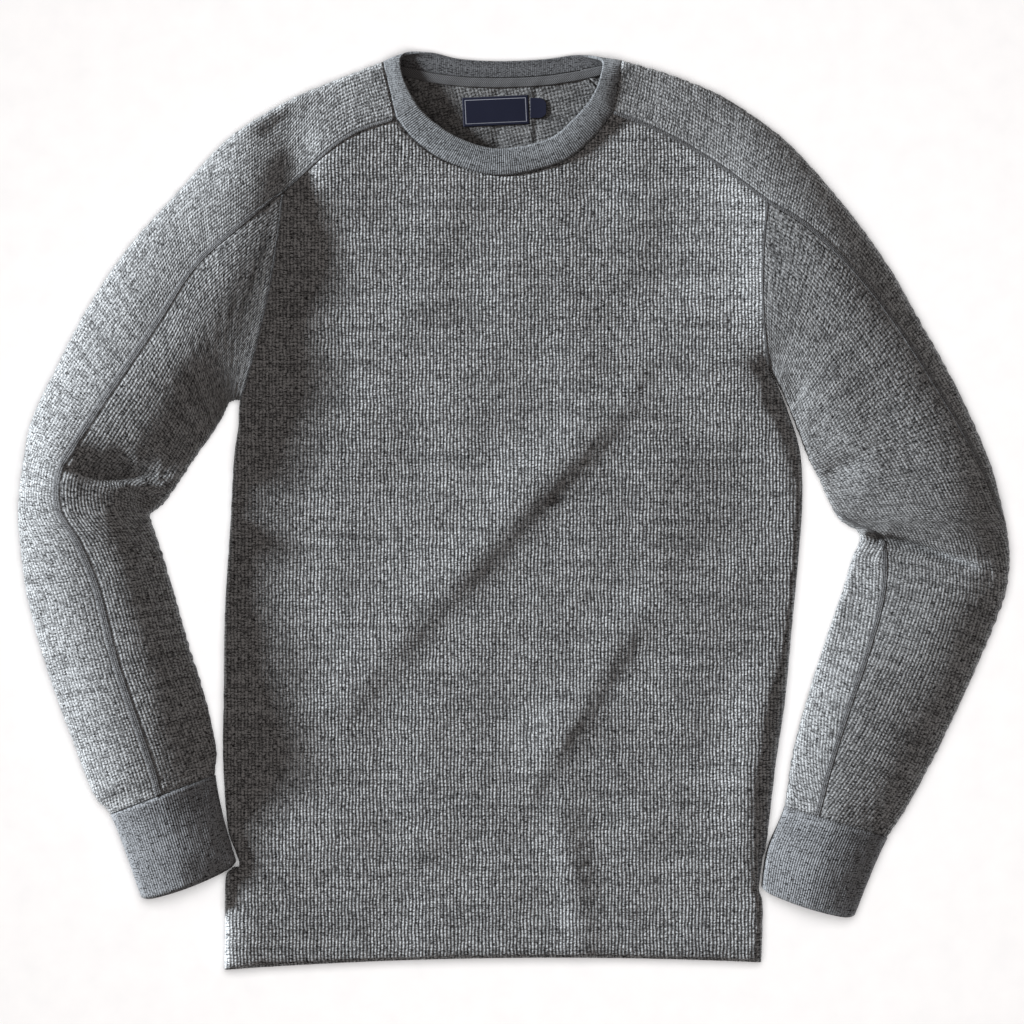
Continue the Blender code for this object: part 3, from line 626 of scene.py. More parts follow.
def add_node(tree: Tree, kind: str, settings: dict | None = None, inputs: dict | None = None,
             output: int | str = 0) -> Socket | None:
    """Add a node, set its fields, and set or link its inputs.

    Args:
        tree: The material's or world's node tree.
        kind: The node's type.
        settings: Values of the node's own fields, by name.
        inputs: A value, or a socket to link from, for each input by name or number.
        output: Which output to give back.

    Returns:
        That output, or None for a node that has none.
    """
    node = tree.nodes.new(kind)
    for name, value in (settings or {}).items():
        setattr(node, name, value)
    for name, value in (inputs or {}).items():
        if isinstance(value, bpy.types.NodeSocket):
            tree.links.new(value, node.inputs[name])
        else:
            node.inputs[name].default_value = value
    return node.outputs[output] if len(node.outputs) else None


def maths(tree: Tree, operation: str, *values: Socket | float) -> Socket:
    """Add a node that works out this operation."""
    return add_node(tree, "ShaderNodeMath", {"operation": operation}, dict(enumerate(values)))


def vector_maths(tree: Tree, operation: str, *values: Socket | tuple) -> Socket:
    """Add a node that works out this operation on vectors."""
    return add_node(tree, "ShaderNodeVectorMath", {"operation": operation},
                    dict(enumerate(values)))


def add_wave(tree: Tree, kind: str, source: Socket, spacing: float) -> Socket:
    """Add a wave from 0 to 1, of the kind SINE or COSINE."""
    turned = maths(tree, "MULTIPLY", source, 2 * math.pi / spacing)
    return maths(tree, "MULTIPLY_ADD", maths(tree, kind, turned), 0.5, 0.5)


def noise(tree: Tree, place: Socket, scale: float, detail: float, roughness: float = 0.5,
          output: int | str = 0) -> Socket:
    """Add soft noise on a plane."""
    return add_node(tree, "ShaderNodeTexNoise", {"noise_dimensions": "2D"}, {
        "Vector": place, "Scale": scale, "Detail": detail, "Roughness": roughness}, output)


def blend(tree: Tree, share: Socket, low: str | Socket, high: str) -> Socket:
    """Add a blend of two colours, each given as hex or as a socket."""
    ends = [linear(end) if isinstance(end, str) else end for end in (low, high)]
    return add_node(tree, "ShaderNodeMix", {"data_type": "RGBA"},
                    {0: share, 6: ends[0], 7: ends[1]}, 2)


@dataclass(frozen=True)
class Finish:
    """The looks of one real material."""

    name: str

    def draw(self, tree: Tree) -> None:
        """Add the material's nodes to its empty tree."""
        raise NotImplementedError

    def material(self) -> bpy.types.Material:
        """Give the material, made at its first use."""
        made = bpy.data.materials.get(self.name)
        if made is None:
            made = bpy.data.materials.new(self.name)
            made.use_nodes = True
            made.node_tree.nodes.clear()
            self.draw(made.node_tree)
        return made

    @staticmethod
    def surface(tree: Tree, colour: Socket, inputs: dict, height: Socket | None = None,
                depth: float = 1.0) -> None:
        """Add the shader and the output.

        Args:
            tree: The material's node tree.
            colour: The base colour.
            inputs: Other inputs of the shader, by name.
            height: The relief, if there is any.
            depth: How many millimetres a relief of 1 stands up.
        """
        inputs = {"Base Color": colour, **inputs}
        if height is not None:
            inputs["Normal"] = add_node(tree, "ShaderNodeBump", None, {
                "Strength": 1.0, "Distance": depth * MM, "Height": height})
        shader = add_node(tree, "ShaderNodeBsdfPrincipled", None, inputs)
        add_node(tree, "ShaderNodeOutputMaterial", None, {"Surface": shader})


@dataclass(frozen=True)
class KnitFinish(Finish):
    """A heather knit: columns and rows of cells, pits between them darkened with painted shade, and
    dark flecks of yarn.

    Combed cotton spun with darker fibres is matt and slightly fuzzy, so it gives a soft broken
    grey with short dark streaks that run across the columns.  A scale is how many clouds of
    noise there are in a millimetre, and a stretch multiplies it across the columns and along.
    """

    light: str = "#c3c9cc"          # the palest loops
    dark: str = "#0e0e10"           # the painted shade in the pits, and the real dark flecks
    column: float = 2.8             # millimetres from column to column
    row: float = 2.85               # millimetres from bar to bar
    beads: float = 0.50             # how far the columns dip between two bars, 0 to 1
    bar: float = 0.28               # how far the bars fill the troughs, 0 to 1
    stagger: float = 0.15           # how far columns are offset at random, in rows
    painted_pit_shade: float = 0.76               # how far the pits are darkened with painted shade, 0 to 1
    depth: float = 0.42             # depth of the pits in millimetres
    cells: float = 0.80             # how far cells differ from each other
    yarn: float = 3.4               # how far the yarn's own shade varies
    courses: float = 1.1            # how far whole rows vary
    flecks: float = 0.88            # how dark the flecks are
    wobble: float = 0.60            # millimetres that the columns wander
    wobble_scale: float = 1 / 18
    yarn_stretch: tuple[float, float, float] = (0.55, 0.80, 0)
    yarn_scale: float = 1.2
    fleck_stretch: tuple[float, float, float] = (0.24, 0.90, 0)
    fleck_range: tuple[float, float] = (0.61, 0.68)     # noise where a fleck starts, and is full
    course_stretch: tuple[float, float, float] = (0.3, 5.0, 0)
    course_scale: float = 1 / 30
    roughness: float = 0.92
    sheen: float = 0.12

    def draw(self, tree: Tree) -> None:
        """Add the knit's nodes."""
        uv = add_node(tree, "ShaderNodeUVMap", {"uv_map": KNIT_UV})
        drift = noise(tree, uv, self.wobble_scale, 2.0, output="Color")
        drift = vector_maths(tree, "SUBTRACT", drift, (0.5, 0.5, 0.5))
        place = vector_maths(tree, "MULTIPLY_ADD", drift, (4 * self.wobble,) * 3, uv)
        counted = vector_maths(tree, "MULTIPLY_ADD", place, (1 / self.column, 1 / self.row, 0),
                               (0.5, 0.5, 0))
        relief = self.relief(tree, place)
        fibres = vector_maths(tree, "MULTIPLY", uv, self.yarn_stretch)
        yarn = noise(tree, fibres, self.yarn_scale, 1.0, 0.7)
        colour = blend(tree, self.tone(tree, uv, counted, relief, yarn), self.dark, self.light)
        height = maths(tree, "MULTIPLY", relief, self.depth)
        fuzzy = maths(tree, "MULTIPLY_ADD", yarn, 0.5 * self.depth, height)
        self.surface(tree, colour, {"Roughness": self.roughness, "Sheen Weight": self.sheen,
                                    "Sheen Roughness": 0.6, "Specular IOR Level": 0.25}, fuzzy)

    def relief(self, tree: Tree, place: Socket) -> Socket:
        """Add the height of the knit: 1 on a column where a bar crosses it, 0 in a pit."""
        across = add_node(tree, "ShaderNodeSeparateXYZ", None, {0: place}, "X")
        counted = maths(tree, "MULTIPLY_ADD", across, 1 / self.column, 0.5)
        chance = add_node(tree, "ShaderNodeTexWhiteNoise", {"noise_dimensions": "1D"},
                          {"W": maths(tree, "FLOOR", counted)})
        along = maths(tree, "MULTIPLY_ADD", chance, 2 * self.stagger * self.row,
                      across.node.outputs["Y"])
        crest = add_wave(tree, "COSINE", across, self.column)
        crossing = add_wave(tree, "COSINE", along, self.row)
        share = maths(tree, "MULTIPLY_ADD", crest, self.beads - self.bar, self.bar)
        bars = maths(tree, "MULTIPLY", crossing, share)
        return maths(tree, "MULTIPLY_ADD", crest, 1 - self.beads, bars)

    def tone(self, tree: Tree, uv: Socket, counted: Socket, relief: Socket,
             yarn: Socket) -> Socket:
        """Add the lightness of each spot: painted shade in the pits, cells, yarn, rows and flecks.

        Args:
            tree: The material's node tree.
            uv: The place in millimetres.
            counted: The place counted in cells.
            relief: The height of the knit, which also darkens the pits as painted shade.
            yarn: The fine noise of the yarn.

        Returns:
            The lightness, 0 to 1.
        """
        cell = add_node(tree, "ShaderNodeTexWhiteNoise", {"noise_dimensions": "2D"},
                        {"Vector": vector_maths(tree, "FLOOR", counted)})
        streak = noise(tree, vector_maths(tree, "MULTIPLY", uv, self.fleck_stretch), 1.0, 1.0)
        course = noise(tree, vector_maths(tree, "MULTIPLY", uv, self.course_stretch),
                       self.course_scale, 3.0)
        total = add_node(tree, "ShaderNodeMapRange", None, {
            0: streak, 1: self.fleck_range[0], 2: self.fleck_range[1], 3: 1.0,
            4: 1 - self.flecks})
        # the relief's factor is painted shade: the colour darkens where the knit dips into its pits
        factors = ((relief, self.painted_pit_shade, 1 - self.painted_pit_shade), (cell, self.cells, 1 - self.cells / 2),
                   (yarn, self.yarn, 1 - self.yarn / 2),
                   (course, self.courses, 1 - self.courses / 2))
        for source, slope, start in factors:
            factor = maths(tree, "MULTIPLY_ADD", source, slope, start)
            total = maths(tree, "MULTIPLY", total, factor)
        return total


@dataclass(frozen=True)
class TwillTapeFinish(Finish):
    """Cotton twill tape: fine diagonal ribs that turn back on themselves in a herringbone."""

    name: str = "cotton_twill_tape"
    light: str = "#8f9396"
    # dark is the painted shade in the grooves between the ribs
    dark: str = "#3a3b3e"
    rib: float = 1.5                # millimetres between ribs, drawn coarse enough to show
    half: float = 4.0               # width of one leg of the herringbone
    depth: float = 0.3

    def draw(self, tree: Tree) -> None:
        """Add the tape's nodes."""
        uv = add_node(tree, "ShaderNodeUVMap", {"uv_map": KNIT_UV})
        across = add_node(tree, "ShaderNodeSeparateXYZ", None, {0: uv}, "X")
        leg = maths(tree, "PINGPONG", across, self.half)
        slanted = maths(tree, "ADD", across.node.outputs["Y"], leg)
        height = add_wave(tree, "SINE", slanted, self.rib)
        # the colour follows the ribs' height: painted shade in the grooves between them
        self.surface(tree, blend(tree, height, self.dark, self.light),
                     {"Roughness": 0.9, "Sheen Weight": 0.1, "Specular IOR Level": 0.3},
                     height, self.depth)


@dataclass(frozen=True)
class SatinLabelFinish(Finish):
    """Damask-woven polyester: fine shiny navy rows, with a plain pale border line woven in."""

    half_width: float
    half_height: float
    ground: str = "#141d3c"
    shade: str = "#0b1126"
    thread: str = "#aab0bd"
    inset: float = 2.3              # from the label's edge to the border line
    line: float = 0.28              # half the width of that line; 0 leaves it out
    pick: float = 0.8               # millimetres between woven rows, coarse enough to show
    depth: float = 0.08

    def draw(self, tree: Tree) -> None:
        """Add the label's nodes."""
        uv = add_node(tree, "ShaderNodeUVMap", {"uv_map": KNIT_UV})
        reach = (self.half_width - self.inset, self.half_height - self.inset, 0)
        past = vector_maths(tree, "SUBTRACT", vector_maths(tree, "ABSOLUTE", uv), reach)
        past_x = add_node(tree, "ShaderNodeSeparateXYZ", None, {0: past}, "X")
        furthest = maths(tree, "MAXIMUM", past_x, past_x.node.outputs["Y"])
        border = maths(tree, "LESS_THAN", maths(tree, "ABSOLUTE", furthest), self.line)
        y = add_node(tree, "ShaderNodeSeparateXYZ", None, {0: uv}, "Y")
        rows = maths(tree, "SINE", maths(tree, "MULTIPLY", y, 2 * math.pi / self.pick))
        ground = blend(tree, noise(tree, uv, 1.4, 2.0), self.shade, self.ground)
        raised = maths(tree, "MULTIPLY_ADD", border, 1.5, rows)
        self.surface(tree, blend(tree, border, ground, self.thread),
                     {"Roughness": 0.5, "Sheen Weight": 0.1, "Specular IOR Level": 0.4},
                     raised, self.depth)


@dataclass(frozen=True)
class PaperFinish(Finish):
    """White seamless paper: even and matt, with barely visible fibre."""

    name: str = "seamless_paper"
    light: str = "#ffffff"
    shade: str = "#f6f6f7"
    fibre: float = 0.02             # metres between clouds in the paper

    def draw(self, tree: Tree) -> None:
        """Add the paper's nodes."""
        place = add_node(tree, "ShaderNodeTexCoord", None, None, "Object")
        cloud = add_node(tree, "ShaderNodeTexNoise", None,
                         {"Vector": place, "Scale": 1 / self.fibre, "Detail": 2.0})
        self.surface(tree, blend(tree, cloud, self.shade, self.light),
                     {"Roughness": 0.95, "Specular IOR Level": 0.1})


WAFFLE = KnitFinish("heather_waffle_knit")
REVERSE = KnitFinish("heather_waffle_reverse", light="#95999b", painted_pit_shade=0.6, depth=0.35,
                     beads=0.6, bar=0.5, flecks=0.7)
RIB = KnitFinish("heather_rib_knit", light="#9aa0a5", dark="#151518", column=2.0, row=1.5,
                 beads=0.12, bar=0.3, painted_pit_shade=0.26, depth=0.12, cells=0.5, wobble=0.2)
COLLAR_RIB = KnitFinish("heather_collar_rib", light="#9ea5aa", dark="#101012", column=1.7,
                        row=1.4, beads=0.2, bar=0.3, painted_pit_shade=0.55, depth=0.14, cells=0.45,
                        yarn=2.6, flecks=0.6, wobble=0.2)
# painted shade: a darker copy of the collar rib, for the band's inner face that shows at the back
# neck
COLLAR_REVERSE_SHADED = KnitFinish("heather_collar_reverse_painted_shade", light="#787c80", dark="#101012",
                            column=1.7, row=1.4, beads=0.3, bar=0.3, painted_pit_shade=0.5, depth=0.14,
                            cells=0.45, wobble=0.2)
SEAM_THREAD = KnitFinish("flatlock_seam_thread", light="#888c8f", dark="#141416", column=1.5,
                         row=1.6, beads=0.5, bar=0.4, painted_pit_shade=0.45, depth=0.25, cells=0.3,
                         flecks=0.5, wobble=0.1)


# --------------------------------------------------------------------------------- cloth

@dataclass
class Cloth:
    """One piece of cloth: a grid of places on its outer face, and where each is on the knit.

    Places are in the tables' millimetres.  A ring joins its last column to its first.
    """

    outer: Grid
    knit: Grid
    flip: bool = False
    ring: bool = False
    wall: float = WALL
    fuzz: Ripples | None = Ripples(0.06, 5.0, 13.0, 3)
    rise: Grid | float = 0.0        # raised ribs and stitches, on the outer face alone
    bulge: float = 0.28             # how far a cut edge is rounded, as a share of the wall

    def normals(self) -> Grid:
        """Give the outer face's unit normals."""
        along = np.gradient(self.outer, axis=0)
        if self.ring:
            across = np.roll(self.outer, -1, axis=1) - np.roll(self.outer, 1, axis=1)
        else:
            across = np.gradient(self.outer, axis=1)
        normal = np.cross(along, across) * (-1 if self.flip else 1)
        return normal / (np.linalg.norm(normal, axis=-1, keepdims=True) + 1e-12)

    def groove(self, sides: dict[str, float], half_width: float = 2.6) -> "Cloth":
        """Press the cloth in along the edges where it is sewn.

        Args:
            sides: The depth in millimetres for each of first_row, last_row, first_column
                and last_column.
            half_width: How far from the edge the groove reaches.

        Returns:
            This piece of cloth.
        """
        down, over = lengths(self.outer, 0), lengths(self.outer, 1)
        distance = {"first_row": down, "last_row": down[-1:] - down,
                    "first_column": over, "last_column": over[:, -1:] - over}
        normal = self.normals()
        for side, depth in sides.items():
            press = depth * np.exp(-(distance[side] / half_width) ** 2)
            self.outer = self.outer - press[..., None] * normal
        return self

    def faces(self) -> tuple[Grid, Grid]:
        """Give the outer and inner faces' places, with ribs and fuzz on the outer one."""
        normal = self.normals()
        inner = self.outer - self.wall * normal
        rise = np.broadcast_to(self.rise, self.outer.shape[:2])
        if self.fuzz:
            rise = rise + self.fuzz.at(self.knit)
        outer = self.outer + rise[..., None] * normal
        outer[..., 2] = np.maximum(outer[..., 2], 0)
        return outer, inner

    def border_loops(self) -> list[Grid]:
        """Give the edges of the grid as loops of numbers, in the order of the faces."""
        rows, columns = self.outer.shape[:2]
        index = np.arange(rows * columns).reshape(rows, columns)
        if self.ring:
            return [index[0], index[-1, ::-1]]
        return [np.concatenate([index[0, :-1], index[:-1, -1], index[-1, :0:-1],
                                index[:0:-1, 0]])]

    def reverse_knit(self, slant: float) -> Grid:
        """Give where each point is on the reverse knit, whose rows lie at a slant."""
        across, along = self.knit.reshape(-1, 2).T
        cosine, sine = math.cos(math.radians(slant)), math.sin(math.radians(slant))
        return np.stack([across * cosine - along * sine, across * sine + along * cosine],
                        axis=-1)

    def build(self, name: str, *materials: bpy.types.Material, slant: float = REVERSE_SLANT,
              relief: Callable[[Grid], Grid] | None = None) -> bpy.types.Object:
        """Make the closed mesh: outer face, rounded edges and inner face.

        Args:
            name: The object's name.
            materials: Its material, and another for the inner face if that has its own.
            slant: Degrees between the knit's rows on its two faces.
            relief: Extra rise of the inner face, worked out from its places.

        Returns:
            The new object, in the garment's collection and riding on the garment.
        """
        outer, inner = self.faces()
        if relief:
            inner = inner + relief(inner)
        rows, columns = outer.shape[:2]
        count = rows * columns
        points = [outer.reshape(-1, 3), inner.reshape(-1, 3)]
        index = np.arange(count).reshape(rows, columns)
        following = np.roll(index, -1, axis=1)
        last = columns if self.ring else columns - 1
        a, b = index[:-1, :last], following[:-1, :last]
        c, d = following[1:, :last], index[1:, :last]
        quads = np.stack([a, b, c, d], axis=-1).reshape(-1, 4)
        parts = [quads, quads[:, ::-1] + count]
        spots = [self.knit.reshape(-1, 2), self.reverse_knit(slant)]
        start = 2 * count
        for loop in self.border_loops():
            edge, back = points[0][loop], points[1][loop]
            run = np.roll(edge, -1, axis=0) - np.roll(edge, 1, axis=0)
            out = np.cross(run, edge - back) * (-1 if self.flip else 1)
            out /= np.linalg.norm(out, axis=-1, keepdims=True) + 1e-12
            points.append((edge + back) / 2 + out * self.wall * self.bulge)
            spots.append(spots[0][loop])
            rim = start + np.arange(len(loop))
            start += len(loop)
            following_rim, following_loop = np.roll(rim, -1), np.roll(loop, -1)
            parts.append(np.stack([following_loop, loop, rim, following_rim], axis=-1))
            parts.append(np.stack([following_rim, rim, loop + count,
                                   following_loop + count], axis=-1))
        made = mesh_object(name, np.vstack(points), np.vstack(parts), np.vstack(spots))
        for material in materials:
            made.data.materials.append(material)
        if len(materials) > 1:
            numbers = np.zeros(len(made.data.polygons), dtype=np.int32)
            numbers[len(quads):2 * len(quads)] = 1
            made.data.polygons.foreach_set("material_index", numbers)
        return made


def garment_collection() -> bpy.types.Collection:
    """Give the collection that holds the garment's pieces, made at its first use."""
    found = bpy.data.collections.get("garment")
    if found is None:
        found = bpy.data.collections.new("garment")
        bpy.context.scene.collection.children.link(found)
    return found


def mesh_object(name: str, points: Grid, faces: Grid, spots: Grid) -> bpy.types.Object:
    """Make a smooth closed object that rides on the garment.

    Args:
        name: The object's name.
        points: Places in the tables' millimetres.
        faces: Four point numbers for each face.
        spots: Where each point is on the knit, in millimetres.

    Returns:
        The new object.
    """
    mesh = bpy.data.meshes.new(name)
    places = (points - np.array([*CENTRE, 0])) * MM
    mesh.from_pydata(places.tolist(), [], faces.tolist())
    shape = bmesh.new()
    shape.from_mesh(mesh)
    bmesh.ops.recalc_face_normals(shape, faces=shape.faces)
    shape.to_mesh(mesh)
    shape.free()
    corners = np.zeros(len(mesh.loops), dtype=np.int64)
    mesh.loops.foreach_get("vertex_index", corners)
    layer = mesh.uv_layers.new(name=KNIT_UV)
    layer.uv.foreach_set("vector", spots[corners].astype(np.float32).ravel())
    mesh.shade_smooth()
    made = bpy.data.objects.new(name, mesh)
    garment_collection().objects.link(made)
    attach(made, BODY)
    log.info("%s: %d faces", name, len(faces))
    return made


# ------------------------------------------------------------------------------ sub-assemblies

@dataclass
class Body:
    """The front and back panels: patches between hem, sides, armholes, saddle seams and neck."""

    plan: GarmentPlan
    drape: Drape
    hem_drop: float = 1.6           # how far the turned hem curls down
    hem_reach: float = 3.2
    side_share: float = 28 / 33     # share of a side's rows below the underarm
    saddle_share: dict[Layer, float] = field(default_factory=lambda: {
        Layer.TOP: 7 / 32, Layer.BOTTOM: 7 / 26})   # share of the columns at each saddle seam
    side_spacing: float = 1.6       # above 1, columns are closest together at the sides
    crease_rows: tuple[float, ...] = (250.0, 280.0, 333.0, 345.0)   # neck creases fade in and out
    saddle_columns: int = 38
    neck_columns: int = 84
    side_rows: int = 150
    armhole_rows: int = 82

    def side(self, side: Side, layer: Layer, v: Grid) -> Grid:
        """Read one side of a panel, from the hem up to the saddle seam."""
        share = self.side_share
        below = self.plan.body_side(side, np.clip(v / share, 0, 1))
        above = self.plan.armhole(side, layer, np.clip((v - share) / (1 - share), 0, 1))
        return np.where((v <= share)[..., None], below, above)

    def upper_edge(self, layer: Layer, s: Grid) -> Grid:
        """Read a panel's upper edge: saddle seam, neck seam and saddle seam."""
        share = self.saddle_share[layer]
        left = self.plan.saddle_seam(Side.LEFT, layer, np.clip(s / share, 0, 1))
        right = self.plan.saddle_seam(Side.RIGHT, layer, np.clip((1 - s) / share, 0, 1))
        neck = self.plan.neckline(layer, np.clip((s - share) / (1 - 2 * share), 0, 1))
        ends = np.where((s < 0.5)[..., None], left, right)
        return np.where(((s >= share) & (s <= 1 - share))[..., None], neck, ends)

    def patch(self, layer: Layer, s: Grid, v: Grid) -> Grid:
        """Blend a panel's four sides into the places inside them."""
        zero, one = np.zeros_like(s), np.ones_like(s)
        a, b = s[..., None], v[..., None]
        left, right = self.side(Side.LEFT, layer, v), self.side(Side.RIGHT, layer, v)
        hem, top = self.plan.hem(s), self.upper_edge(layer, s)
        corners = ((1 - a) * (1 - b) * self.plan.hem(zero) + a * (1 - b) * self.plan.hem(one)
                   + (1 - a) * b * self.upper_edge(layer, zero)
                   + a * b * self.upper_edge(layer, one))
        return (1 - b) * hem + b * top + (1 - a) * left + a * right - corners

    def columns(self, layer: Layer) -> Grid:
        """Space the columns: closest together where the sides roll over."""
        share = self.saddle_share[layer]
        saddle = share * np.linspace(0, 1, self.saddle_columns + 1) ** self.side_spacing
        neck = np.linspace(share, 1 - share, self.neck_columns + 1)
        return np.concatenate([saddle, neck[1:-1], 1 - saddle[::-1]])

    def panel(self, layer: Layer) -> Cloth:
        """Lay out the front or back panel."""
        share = self.side_share
        rows = np.concatenate([np.linspace(0, share, self.side_rows + 1),
                               np.linspace(share, 1, self.armhole_rows + 1)[1:]])
        s, v = np.meshgrid(self.columns(layer), rows)
        place = self.patch(layer, s, v)
        if layer is Layer.TOP:
            height = self.drape.top(place)
            hem = lengths(place, 0)
            height = height - self.hem_drop * np.exp(-(hem / self.hem_reach) ** 2)
        else:
            height = self.drape.bottom(place)
        outer = np.concatenate([place, height[..., None]], axis=-1)
        return Cloth(outer, place, flip=layer is Layer.TOP)

    def neck_creases(self, inner: Grid) -> Grid:
        """Give the rise of the back panel's inner face at the creases under the label."""
        rise = np.zeros_like(inner)
        for x, height, width in points_of(NECK_CREASES, "x height width"):
            rise[..., 2] += height * np.exp(-((inner[..., 0] - x) / width) ** 2)
        rise[..., 2] *= np.interp(inner[..., 1], self.crease_rows, (0, 1, 1, 0))
        return rise

    def build(self) -> dict[str, bpy.types.Object]:
        """Build both panels, and give them by node."""
        faces = (WAFFLE.material(), REVERSE.material())
        seams = {"first_column": 0.4, "last_column": 0.4, "last_row": 0.7}
        front = self.panel(Layer.TOP).groove({"last_row": 0.7})
        back = self.panel(Layer.BOTTOM).groove(seams)
        made = {
            "front_panel": front.build("waffle_front_panel", *faces),
            "back_panel": back.build("waffle_back_panel", *faces, relief=self.neck_creases),
        }
        for node, piece in made.items():
            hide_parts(node)
        return made


@dataclass
class SleeveSet:
    """One sleeve: the outer panel with its saddle, the under panel, the rib cuff and seams."""

    plan: SleevePlan
    drape: Drape
    outer_columns: int = 74
    under_columns: int = 90
    station_step: float = 12.0      # millimetres that each station counts for, over its length
    shoulder_seam: float = 2.8      # width of the seam strips over the shoulder
    sleeve_seam: dict[Side, float] = field(default_factory=lambda: {
        Side.LEFT: 6.6, Side.RIGHT: 4.6})       # and along the sleeve
    seam_growth: float = 3.0        # stations over which they widen
    seam_stop: float = 0.02         # stations or radians between a strip's end and the next seam
    seam_wall: float = 0.6
    seam_fuzz: Ripples = Ripples(0.05, 4.0, 9.0, 5)
    armhole_points: int = 220
    inner_span: tuple[float, float] = (0.03, 1.3)   # stations of the inner saddle seam's strip
    inner_points: int = 60
    inner_width: float = 9.0
    inner_rise: float = 0.08
    scallops: Ripples = Ripples(0.22, 5.5, 11.0, 23)    # waves of the folded edges
    scallop_reach: float = 0.45     # how far these go in from an edge, as a sine
    scallop_shift: float = 9.0      # so that the under panel's waves are its own
    rib: float = 2.0
    rib_height: float = 0.12
    rib_points: int = 6
    rib_fade: float = 12.0          # ribs rise over one part in this many of the cuff
    cuff_fuzz: Ripples = Ripples(0.05, 6.0, 20.0, 11)
    cuff_rows: int = 20
    corner: float = 0.09            # stations by which the cuff's corners are rounded back
    corner_powers: tuple[int, int] = (3, 12)    # how small a corner is, along and across

    @property
    def prefix(self) -> str:
        """Name the side that this sleeve is on."""
        return self.plan.side.value

    def point(self, u: Grid, angle: Grid) -> Grid:
        """Give places on the sleeve's outer surface."""
        return self.drape.sleeve_point(self.plan, u, angle)

    def stations(self, first: float, last: float) -> Grid:
        """Space stations about evenly along the sleeve."""
        probe = np.linspace(first, last, 400)
        line = (self.plan.outer(probe) + self.plan.inner(np.maximum(probe, self.plan.shoulder))) / 2
        run = run_along(line) + (probe - first) * self.station_step
        return np.interp(np.linspace(0, run[-1], int(run[-1] / STEP) + 1), run, probe)

    def sheet_of(self, first: float, last: float, columns: int, over_inner: bool) -> Cloth:
        """Lay out the outer or the under panel.

        Args:
            first: The station where the panel starts.
            last: The station where it ends.
            columns: How many parts it has across.
            over_inner: True for the under panel, which goes round the inner fold.

        Returns:
            The panel's cloth.
        """
        u = self.stations(first, last)
        front, back = self.plan.seams(u)
        if not over_inner:
            back = back - 2 * math.pi
        angles = front[:, None] + (back - front)[:, None] * np.linspace(0, 1, columns + 1)
        outer = self.point(np.broadcast_to(u[:, None], angles.shape), angles)
        knit = knit_spots(lengths(outer, 1), outer)
        shift = np.full(angles.shape, self.scallop_shift * over_inner)
        run = np.stack([knit[..., 1], shift], axis=-1)
        near_edge = np.exp(-(np.sin(angles) / self.scallop_reach) ** 2)
        flip = (self.plan.side is Side.RIGHT) == over_inner
        return Cloth(outer, knit, flip=flip, rise=near_edge * self.scallops.at(run))

    def cuff(self) -> Cloth:
        """Lay out the rib cuff, a ring with raised ribs along it."""
        u = np.linspace(self.plan.cuff, self.plan.end, self.cuff_rows + 1)
        probe = np.linspace(0, 2 * math.pi, 721)
        middle = np.full_like(probe, (self.plan.cuff + self.plan.end) / 2)
        run = run_along(self.point(middle, probe))
        count = round(run[-1] / self.rib) * self.rib_points
        angles = np.interp(np.arange(count) / count * run[-1], run, probe)
        grid_u, grid_angle = np.meshgrid(u, angles, indexing="ij")
        share = (grid_u - u[0]) / (u[-1] - u[0])
        down, over = self.corner_powers
        grid_u = grid_u - self.corner * share ** down * np.abs(np.cos(grid_angle)) ** over
        outer = self.point(grid_u, grid_angle)
        knit = knit_spots(np.arange(count) / self.rib_points * self.rib, outer)
        wave = self.rib_height * np.cos(2 * math.pi * np.arange(count) / self.rib_points)
        fade = np.clip(np.minimum(u - u[0], u[-1] - u) / (u[-1] - u[0]) * self.rib_fade, 0, 1)
        return Cloth(outer, knit, flip=self.plan.side is Side.RIGHT, ring=True,
                     fuzz=self.cuff_fuzz, rise=fade[:, None] * wave)

    def seam_strip(self, u: Grid, angle: Grid, widths: Grid, lengthwise: bool) -> Cloth:
        """Lay a flat seam's strip over a line on the sleeve.

        Args:
            u: The line's stations.
            angle: The line's angles.
            widths: The strip's width at each point of the line.
            lengthwise: True if the line runs along the sleeve, False if round it.

        Returns:
            The strip's cloth.
        """
        small = 1e-3
        if lengthwise:
            step = self.point(u, angle + small) - self.point(u, angle - small)
        else:
            step = self.point(u + small, angle) - self.point(u - small, angle)
        rate = np.linalg.norm(step, axis=-1) / (2 * small) + 1e-9
        offset = STITCHES["place"] * (widths / (2 * rate))[:, None]
        zero = np.zeros_like(offset)
        if lengthwise:
            base = self.point(u[:, None] + zero, angle[:, None] + offset)
        else:
            base = self.point(u[:, None] + offset, angle[:, None] + zero)
        knit = knit_spots(STITCHES["place"] * widths[:, None] / 2, base)
        return Cloth(base, knit, flip=(self.plan.side is Side.RIGHT) == lengthwise,
                     wall=self.seam_wall, fuzz=self.seam_fuzz, rise=STITCHES["height"])

    def inner_seam(self) -> Cloth:
        """Lay out the inner side of the back saddle seam, flush, where it shows in the neck."""
        u = np.linspace(*self.inner_span, self.inner_points)
        widths = np.full_like(u, self.inner_width)
        inside = self.seam_strip(u, self.plan.seams(u)[1], widths, True)
        inside.outer[..., 2] = FLOOR_LIFT + WALL + self.inner_rise
        inside.flip = not inside.flip
        inside.rise = 0.0
        return inside

